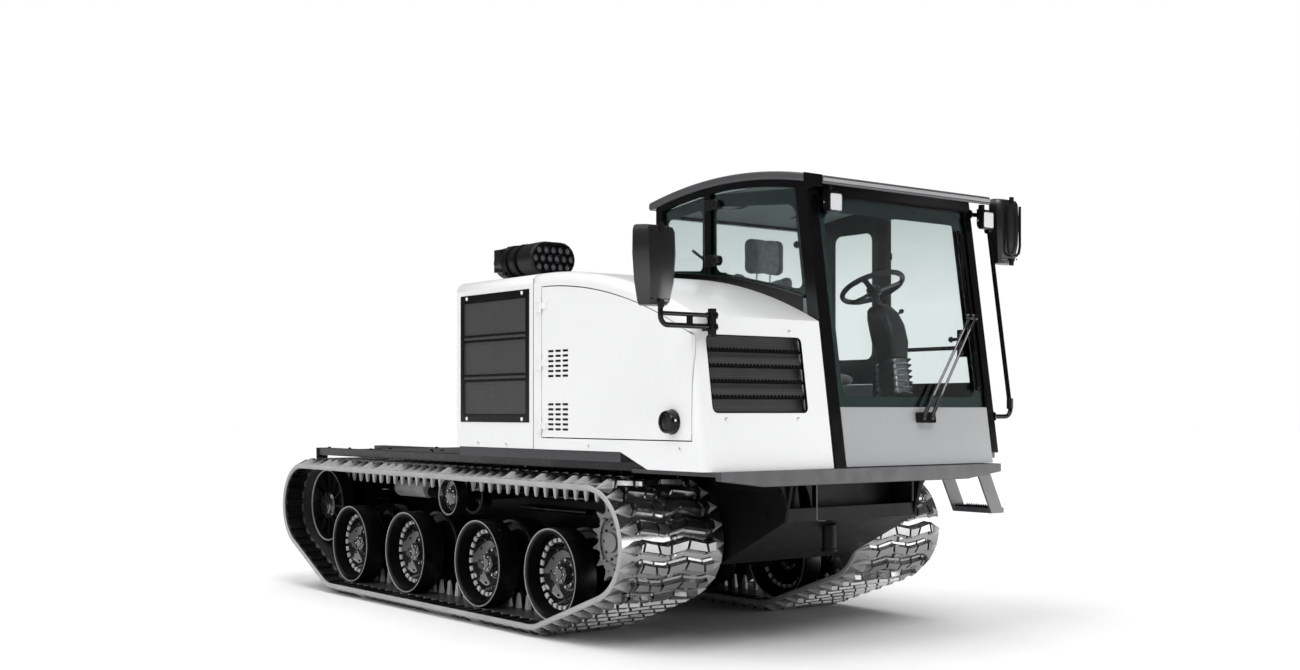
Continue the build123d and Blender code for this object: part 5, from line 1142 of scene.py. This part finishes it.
def work_lights():
    made = Shape("work_lamps")
    for x, y, top in lamp_places():
        place = facing_front(x + 0.060, y, top - 0.0525)
        made.skin(place, LAMP_SHELL, PLASTIC)
        made.plate(place, LAMP_BACK, 0.059, 0.060, PLASTIC)
        # Matte white bowl in place of a silver reflector: painted reflection
        made.skin(place, LAMP_BOWL, WHITE)
        made.plate(place, LAMP_BACK, 0.036, 0.037, WHITE)
        made.plate(place, LAMP_INNER, 0.003, 0.006, LENS)
        stem = arc_z(ROOF_PEAK, x + 0.03) - 0.046
        made.box((0.012, -0.012, top - 0.004), (0.040, 0.012, stem), PLASTIC, (front_x(top), y, 0))
        for side in (-1, 1):
            made.box((0.012, -0.003, -0.080), (0.030, 0.003, 0.012), PLASTIC, (x, y + side * 0.050, top))
            made.bolt((x + 0.021, y + side * 0.053, top - 0.055), (0, side, 0), 0.007, 0.006, STEEL)
        made.box((0.012, -0.053, 0.008), (0.030, 0.053, 0.013), PLASTIC, (x, y, top))
    made.done(replaces=["work_lights"], bevel=0.0015)


# Wiper on the front plane: Y and height of pivot and tip, the blade's ends, and its arms' knuckles
WIPER_PIVOT = (0.500, 1.236)
WIPER_TIP = (0.985, 1.820)
WIPER_BLADE_Z = (1.390, 2.330)
KNUCKLE = ((0.016, -0.010), (0.016, 0.006), (0.010, 0.009), (0.0, 0.009))
# Layers of the blade: half width, depths, how much shorter at each end, material
BLADE_LAYERS = ((0.006, -0.012, 0.012, 0.0, PLASTIC), (0.017, -0.020, -0.010, 0.02, BLACK),
                (0.010, -0.026, -0.018, 0.22, BLACK))


def wiper():
    made = Shape("wiper_linkage")
    pivot_y, pivot_z = WIPER_PIVOT
    tip_y, tip_z = WIPER_TIP
    base = rounded(pivot_y - 0.065, pivot_y + 0.065, pivot_z - 0.030, pivot_z + 0.030, 0.012)
    made.plate(on_front, base, -0.034, -0.0005, BLACK)
    for dy in (-0.034, 0.034):
        arm = [on_front(pivot_y + dy, pivot_z, -0.030), on_front(tip_y + dy * 0.7, tip_z, -0.030)]
        way = (arm[1] - arm[0]).normalized()
        made.tube(arm, 0.0075, GLOSSY, 10)
        made.tube([arm[0] - way * 0.01, arm[0] + way * 0.16], 0.0115, BLACK, 12)
        made.tube([arm[1] - way * 0.10, arm[1] + way * 0.01], 0.0095, BLACK, 12)
        for spot in arm:
            made.lathe(spot, (1, 0, 0.15), KNUCKLE, BLACK, 18)
    clamp = rounded(tip_y - 0.042, tip_y + 0.042, tip_z - 0.016, tip_z + 0.016, 0.012)
    made.plate(on_front, clamp, -0.032, -0.020, STEEL)
    low, high = WIPER_BLADE_Z
    for half, near, far, inset, material in BLADE_LAYERS:
        blade = rectangle(tip_y - half, tip_y + half, low + inset, high - inset)
        made.plate(on_front, blade, near, far, material)
    made.done(replaces=["wiper"], bevel=0.001)


# Cab glass borders and trim
# Left pane behind the door, and the clear part of it: rear and front X, lower and upper edge
LEFT_PANE = (0.895, 1.389, 1.442, 2.600)
LEFT_VIEW = (1.050, 1.375, 1.600, 2.400)


def on_left_pane(x, z, depth):
    """Place on the inner face of the left pane; the pane ends under the roof's curve."""
    return Vector((x, CAB_LEFT - 0.0260 - depth, min(z, arc_z(ROOF_PEAK, x) - 0.0700)))


def pane_place(rear, front_depth, y):
    """Places on a right pane by share along and share up, between its curved edges."""

    def spot(s, t, depth):
        z = 2.2
        for _ in range(3):
            front = front_x(z) - front_depth if front_depth is not None else rear + 0.395
            x = rear + s * (front - rear)
            bottom = arc_z(SILL_PEAK, x)
            top = arc_z(ROOF_PEAK, x) - 0.0856
            z = bottom + t * (top - bottom)
        return Vector((x, y + depth, z))

    return spot


def glass_borders():
    made = Shape("glass_borders")
    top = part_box("windshield")[1].z
    outer = rounded(-0.140, 1.050, 1.293, top, 0.002)
    inner = rounded(-0.092, 0.985, 1.350, top - 0.085, 0.060)
    made.frame(on_front, outer, inner, 0.0235, 0.0245, FRIT)
    full = rounded(0.0, 1.0, 0.0, 1.0, 0.005)
    for rear, depth in ((1.345, 0.090), (0.895, None)):
        wide = 0.80 if depth else 0.395
        tall = 0.46
        view = rounded(0.035 / wide, 1 - 0.040 / wide, 0.028 / tall, 1 - 0.075 / tall, 0.075)
        made.frame(pane_place(rear, depth, CAB_RIGHT + 0.026), full, view, 0.0, 0.001, FRIT)
    pane = rounded(*LEFT_PANE, 0.002)
    made.frame(on_left_pane, pane, rounded(*LEFT_VIEW, 0.050), 0.0, 0.001, FRIT)
    made.done()


# Inner catch bar of the cab door: rear and front X, height
DOOR_BAR = (1.545, 2.140, 1.645)


def door_bar():
    made = Shape("cab_door_bar")
    rear, front, z = DOOR_BAR
    y = CAB_LEFT - 0.075
    made.tube([(rear, y + 0.030, z), (rear, y, z), (front, y, z), (front, y + 0.030, z)], 0.009, PLASTIC, 12)
    knob = (front - 0.060, y - 0.012, z + 0.050)
    made.tube([knob, (front + 0.010, y - 0.012, z + 0.050)], 0.010, PLASTIC, 12)
    made.dome(knob, ASTERN, 0.018, 0.018, PLASTIC)
    made.done("cab_door_panel")


# Strip under the right windows: distance in from the cab's side, height over the windows' lower edge
SILL_STRIP = ((-0.0045, -0.110), (-0.0045, 0.006), (0.002, 0.014), (0.014, 0.014), (0.014, -0.002),
              (0.0, -0.110))
PANE_HINGE = ((0.030, -0.03), (0.030, 0.008), (0.022, 0.014), (0.0, 0.014))


def cab_trim():
    made = Shape("cab_trim")
    rear, front = CAB_REAR + 0.002, front_x(2.0) - 0.095
    strip = []
    for i in range(25):
        x = rear + (front - rear) * i / 24
        z = arc_z(SILL_PEAK, x)
        strip.append([Vector((x, CAB_RIGHT + dy, z + dz)) for dy, dz in SILL_STRIP])
    made.loft(strip, BLACK)
    for z, tall in ((2.470, 0.060), (2.145, 0.070)):
        made.box((1.300, CAB_RIGHT - 0.004, z - tall / 2), (1.385, CAB_RIGHT + 0.012, z + tall / 2), PLASTIC)
        made.lathe((1.392, CAB_RIGHT + 0.004, z), RIGHTWARD, PANE_HINGE, PLASTIC, 20)
    made.tube([(1.130, CAB_RIGHT + 0.050, 2.225), (1.330, CAB_RIGHT + 0.050, 2.110)], 0.009, PLASTIC, 10)
    made.box((1.330, CAB_RIGHT + 0.030, 2.040), (1.420, CAB_RIGHT + 0.070, 2.075), PLASTIC)
    grab_x = front_x(2.18) - 0.100
    made.box((-0.030, 0.050, 2.120), (0.014, 0.080, 2.240), PLASTIC, (grab_x, CAB_RIGHT, 0))
    knob = (grab_x - 0.080, CAB_RIGHT + 0.065, 2.185)
    made.tube([knob, (grab_x, CAB_RIGHT + 0.065, 2.185)], 0.011, PLASTIC, 10)
    made.dome(knob, ASTERN, 0.020, 0.020, PLASTIC)
    made.done(bevel=0.002)


def roof_edge():
    """Pale strip along the roof's front edge, a painted highlight of light on that edge, and a black cap at
    its right end.
    """
    low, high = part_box("cab_roof")
    made = Shape("roof_edge")
    top = arc_z(ROOF_PEAK, high.x) - 0.012
    # Pale strip: painted highlight on the roof's front edge
    made.box((high.x - 0.002, low.y + 0.060, top - 0.018), (high.x + 0.004, high.y - 0.012, top), SILVER)
    rear, front = high.x - 0.085, high.x + 0.004
    foot = top - 0.048
    outline = ((rear, foot), (front, foot), (front, top + 0.014), (rear, arc_z(ROOF_PEAK, rear) + 0.004))
    made.plate(upright(low.y), outline, -0.004, 0.052, BLACK)
    made.done(bevel=0.001)


# Round vents in the headliner: X and Y, then their ring by radius and distance down
VENTS = ((1.74, 0.00), (1.18, 0.10), (1.10, 0.76), (1.74, 0.86))
VENT_RING = ((0.088, -0.002), (0.088, 0.006), (0.080, 0.012), (0.070, 0.010), (0.066, 0.002))
LINER_EDGE = 0.030
LINER_MIDDLE = 0.036


def headliner():
    made = Shape("headliner")
    rear, front = CAB_REAR + 0.045, 2.095
    y0, y1 = CAB_RIGHT + 0.044, CAB_LEFT - 0.044
    section = ((y0, -0.02), (y0 + 0.05, -LINER_EDGE), (y0 + 0.10, -LINER_MIDDLE), (y1 - 0.10, -LINER_MIDDLE),
               (y1 - 0.05, -LINER_EDGE), (y1, -0.02), (y1, 0.0), (y0, 0.0))
    sheet = []
    for i in range(17):
        x = rear + (front - rear) * i / 16
        z = arc_z(ROOF_PEAK, x) - 0.060
        sheet.append([Vector((x, y, z + dz)) for y, dz in section])
    made.loft(sheet, LINING)
    for x, y in VENTS:
        spot = (x, y, arc_z(ROOF_PEAK, x) - 0.094)
        made.lathe(spot, DOWN, VENT_RING, PLASTIC, 28)
        made.lathe(spot, DOWN, ((0.066, 0.002), (0.0, 0.004)), CHASSIS, 28)
    made.done()


# Steering wheel: ring and grip by radius, hub by radius and height, spoke by radius, half width, height
WHEEL_RING = 0.180
WHEEL_GRIP = 0.0155
WHEEL_HUB = ((0.0, 0.004), (0.030, 0.003), (0.040, -0.004), (0.042, -0.046), (0.020, -0.053), (0.018, -0.112),
             (0.0, -0.112))
SPOKE = ((0.030, 0.024, -0.026), (0.070, 0.017, -0.020), (0.130, 0.015, -0.010), (0.178, 0.020, -0.002))


def steering_wheel():
    made = Shape("steering_wheel_rim")
    turn = Matrix.Translation(WHEEL) @ Matrix.Rotation(-WHEEL_TILT, 4, "Y")
    rings = []
    for i in range(64):
        angle = TAU * i / 64
        section = []
        for k in range(14):
            t = TAU * k / 14
            r = WHEEL_RING + WHEEL_GRIP * math.cos(t)
            dent = 0.001 * math.cos(12 * angle) if math.sin(t) < -0.3 else 0.0
            height = (WHEEL_GRIP - dent) * math.sin(t)
            section.append(turn @ Vector((r * math.cos(angle), r * math.sin(angle), height)))
        rings.append(section)
    made.loft(rings + rings[:1], PLASTIC, ends=False)
    made.lathe(turn @ Vector((0, 0, 0)), turn.to_3x3() @ Vector((0, 0, 1)), WHEEL_HUB, PLASTIC, 28)
    for i in range(3):
        spin = turn @ Matrix.Rotation(math.pi + TAU * i / 3, 4, "Z")
        spoke = []
        for r, half, drop in SPOKE:
            low, high = drop - 0.006, drop + 0.004
            section = ((-half, low), (-half, high), (half, high), (half, low))
            spoke.append([spin @ Vector((r, w, h)) for w, h in section])
        made.loft(spoke, PLASTIC)
    made.done("steering", ["steering_wheel"], bevel=0.002)


# Column from its foot up: X, height, half length and half width of its section
COLUMN_FOOT = ((2.148, 1.032, 0.092, 0.078), (2.148, 1.120, 0.088, 0.074), (2.140, 1.330, 0.074, 0.066))
COLUMN_HEAD = ((2.118, 1.560, 0.070, 0.066), (2.105, 1.640, 0.084, 0.074), (2.075, 1.740, 0.083, 0.076),
               (2.040, 1.815, 0.072, 0.070), (2.012, 1.858, 0.054, 0.056), (2.004, 1.874, 0.040, 0.040))
COLUMN_LEAN = 0.30
FOLDS = 7


def steering_column():
    made = Shape("steering_column_cover")

    def section(x, z, long, wide):
        outline = rounded(-long, long, -wide, wide, 0.45 * min(long, wide))
        return [Vector((x + u, SEAT_Y + v, z + u * COLUMN_LEAN)) for u, v in outline]

    made.loft([section(*level) for level in COLUMN_FOOT], PLASTIC)
    bellows = []
    low, top = COLUMN_FOOT[-1], COLUMN_HEAD[0]
    for i in range(2 * FOLDS + 1):
        share = i / (2 * FOLDS)
        x, z, long, wide = [a + (b - a) * share for a, b in zip(low, top)]
        swell = 0.016 if i % 2 else -0.004
        bellows.append(section(x, z, long + swell, wide + swell))
    made.loft(bellows, RUBBER)
    made.loft([section(*level) for level in COLUMN_HEAD], PLASTIC)
    made.tube([(2.060, SEAT_Y + 0.060, 1.800), (2.020, SEAT_Y + 0.175, 1.850)], 0.007, PLASTIC, 10)
    made.dome((2.020, SEAT_Y + 0.175, 1.850), (-0.3, 0.9, 0.3), 0.014, 0.030, PLASTIC)
    made.done(replaces=["steering_column"], sharp=50)


# Seat
CUSHION_INSET = 0.010
VOXEL = 0.009
CLOTH_FRAMES = 20
CLOTH_PRESSURE = 4.0
# Sewn channels in a cushion
CHANNEL_DEPTH = 0.006
CHANNEL_WIDTH = 0.007
# Name, lowest and highest corner, rounding of the corners, half width of the paler panel
CUSHIONS = (
    ("seat_cushion", (1.082, 0.232, 1.3905), (1.580, 0.728, 1.530), 0.048, 0.15),
    ("seat_back", (0.962, 0.232, 1.3905), (1.080, 0.728, 2.122), 0.044, 0.15),
    ("headrest", (0.980, 0.330, 2.126), (1.085, 0.630, 2.345), 0.038, 0.085),
)


def inflate(name, low, high, corner):
    """Padded block that fills the box from low to high, blown up as cloth."""
    work = bmesh.new()
    bmesh.ops.create_cube(work, size=1.0)
    size = [b - a - 2 * CUSHION_INSET for a, b in zip(low, high)]
    middle = (Vector(low) + Vector(high)) / 2
    for vertex in work.verts:
        vertex.co = middle + Vector([c * s for c, s in zip(vertex.co, size)])
    bmesh.ops.bevel(work, geom=work.edges[:], offset=corner, segments=4, affect="EDGES", profile=0.5)
    mesh = bpy.data.meshes.new(name + "_start")
    work.to_mesh(mesh)
    work.free()
    made = linked(name, mesh)
    remesh = made.modifiers.new("remesh", "REMESH")
    remesh.mode = "VOXEL"
    remesh.voxel_size = VOXEL
    made.data = settled(made)
    made.modifiers.clear()
    cloth = made.modifiers.new("cloth", "CLOTH")
    cloth.settings.use_pressure = True
    cloth.settings.uniform_pressure_force = CLOTH_PRESSURE
    cloth.settings.effector_weights.gravity = 0.0
    scene = bpy.context.scene
    for step in range(1, CLOTH_FRAMES + 1):
        scene.frame_set(step)
    made.data = settled(made)
    made.modifiers.clear()
    scene.frame_set(1)
    for axis in range(3):
        reach = [v.co[axis] for v in made.data.vertices]
        start, end = min(reach), max(reach)
        for vertex in made.data.vertices:
            share = (vertex.co[axis] - start) / (end - start)
            vertex.co[axis] = low[axis] + share * (high[axis] - low[axis])
    return made


def settled(made):
    """Mesh of an object with its modifiers worked in."""
    shown = made.evaluated_get(bpy.context.evaluated_depsgraph_get())
    return bpy.data.meshes.new_from_object(shown)


def seat_cushion(name, low, high, corner, panel):
    """Cushion with a paler middle panel between two sewn channels."""
    made = inflate(name, low, high, corner)
    mesh = made.data
    mesh.materials.clear()
    mesh.materials.append(FABRIC)
    mesh.materials.append(FABRIC_PALE)
    normals = [v.normal.copy() for v in mesh.vertices]
    for vertex, normal in zip(mesh.vertices, normals):
        away = abs(abs(vertex.co.y - SEAT_Y) - panel)
        vertex.co -= normal * CHANNEL_DEPTH * math.exp(-(away / CHANNEL_WIDTH) ** 2)
    for face in mesh.polygons:
        face.use_smooth = True
        if abs(face.center.y - SEAT_Y) < panel:
            face.material_index = 1
    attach(made, "machine")
    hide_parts("seat_cushions")


def seat():
    for cushion in CUSHIONS:
        seat_cushion(*cushion)
    posts = Shape("headrest_posts")
    for y in (SEAT_Y - 0.055, SEAT_Y + 0.055):
        posts.tube([(1.024, y, 2.060), (1.032, y, 2.200)], 0.007, STEEL, 12)
    posts.done()


# Finish of the solids that stay in view
FINISHES = {
    WHITE: "engine_hood radiator_housing engine_door engine_door_hinges hood_hinge_leaves",
    BLACK: "cab_pillars cab_roof_rails cab_door cab_door_fittings cab_hinge_leaves right_mirror_arm handrail"
           " body_rails",
    DARK: "front_platform engine_floor deck_beams mounting_rails rear_hitch",
    ROOF_GREY: "cab_roof",
    RAIL: "deck_rails",
    TRIM: "cab_walls cab_floor side_console",
    CHASSIS: "chassis_tub nose_frame right_bogies left_bogies radiator",
    STEP_GREY: "cab_step",
    SILVER: "cab_front_panel",
    FRONT_MESH: "front_grille",
    SIDE_MESH: "side_grilles",
    CAST: "engine",
    PLASTIC: "seat_base",
    GLASS: "windshield cab_glass cab_door_glass",
}
EDGE_ROUNDS = {
    0.012: "cab_roof",
    0.006: "engine_hood radiator_housing cab_pillars cab_door right_bogies left_bogies chassis_tub",
    0.004: "front_platform deck_rails body_rails mounting_rails cab_front_panel nose_frame rear_hitch"
           " cab_walls",
    0.003: "cab_step deck_beams engine_floor side_console seat_base",
    0.002: "side_grilles",
    0.001: "engine_door",
}


def dress_solids():
    for material, names in FINISHES.items():
        for name in names.split():
            mesh = NODES[name].data
            mesh.materials.clear()
            mesh.materials.append(material)
    for width, names in EDGE_ROUNDS.items():
        for name in names.split():
            round_edges(NODES[name], width)


# Floor, light and camera
def floor():
    reach = 80.0
    mesh = bpy.data.meshes.new("studio_floor")
    corners = [(u, v, 0) for u, v in rectangle(-reach, reach, -reach, reach)]
    mesh.from_pydata(corners, [], [(0, 1, 2, 3)])
    mesh.materials.append(coating("pale_floor", (0.90, 0.90, 0.90), 0.7, grain=(40.0, 0.01), tone=0.01))
    made = linked("studio_floor", mesh)


def soft_sun(name, towards, angle, power):
    """Broad far light; towards points from the machine to the light."""
    light = bpy.data.lights.new(name, "SUN")
    light.energy = power
    light.angle = math.radians(angle)
    linked(name, light).rotation_euler = Vector(towards).to_track_quat("Z", "Y").to_euler()


def soft_box(name, place, aim, wide, tall, power):
    """Broad lit panel that shows in shining parts."""
    light = bpy.data.lights.new(name, "AREA")
    light.shape = "RECTANGLE"
    light.size = wide
    light.size_y = tall
    light.energy = power
    made = linked(name, light)
    made.location = place
    made.rotation_euler = (Vector(place) - Vector(aim)).to_track_quat("Z", "Y").to_euler()
    made.visible_camera = False


def light_and_camera():
    world = bpy.data.worlds.new("studio")
    world.use_nodes = True
    tree = world.node_tree
    lit = tree.nodes["Background"]
    lit.inputs["Color"].default_value = (1, 1, 1, 1)
    lit.inputs["Strength"].default_value = 0.13
    seen = add_node(tree, "ShaderNodeBackground", {"Color": (1, 1, 1, 1), "Strength": 1.0})
    path = add_node(tree, "ShaderNodeLightPath")
    shown = calculate(tree, "MAXIMUM", path.outputs["Is Camera Ray"], path.outputs["Is Transmission Ray"])
    mix = add_node(tree, "ShaderNodeMixShader", {0: shown})
    tree.links.new(lit.outputs[0], mix.inputs[1])
    tree.links.new(seen.outputs[0], mix.inputs[2])
    tree.links.new(mix.outputs[0], tree.nodes["World Output"].inputs["Surface"])
    scene = bpy.context.scene
    scene.world = world
    scene.view_settings.view_transform = "Standard"
    soft_sun("key", (-0.25, -0.85, 0.9), 55, 1.5)
    soft_sun("front", (0.62, -0.15, 0.80), 30, 1.45)
    soft_sun("top", (-0.1, 0.1, 1.0), 70, 1.4)
    soft_box("low_front", (5.6, 3.6, 0.80), (1.9, 0.2, 0.5), 5.0, 1.4, 80.0)
    soft_box("right_side", (1.0, -7.8, 1.6), (0.6, 0.0, 1.0), 9.0, 2.2, 56.0)
    data = bpy.data.cameras.new("camera")
    data.lens = 41.37
    data.sensor_width = 36.0
    data.shift_y = 0.0585
    data.clip_end = 500.0
    camera = linked("camera", data)
    camera.location = (8.014, -5.801, 1.272)
    camera.rotation_euler = (math.pi / 2, 0, math.radians(52.4))
    scene.camera = camera


dress_solids()
for side_name in SIDES:
    track(side_name)
    road_wheels(side_name)
drive_ends()
idlers_and_rollers()
side_bars()
air_cleaner()
side_grille_trim()
front_grille_trim()
hood_details()
panel_seams()
engine_door_latch()
nose_details()
step_tread()
deck_fittings()
mirrors()
arm_fittings()
work_lights()
wiper()
glass_borders()
door_bar()
cab_trim()
roof_edge()
headliner()
steering_wheel()
steering_column()
seat()
floor()
light_and_camera()
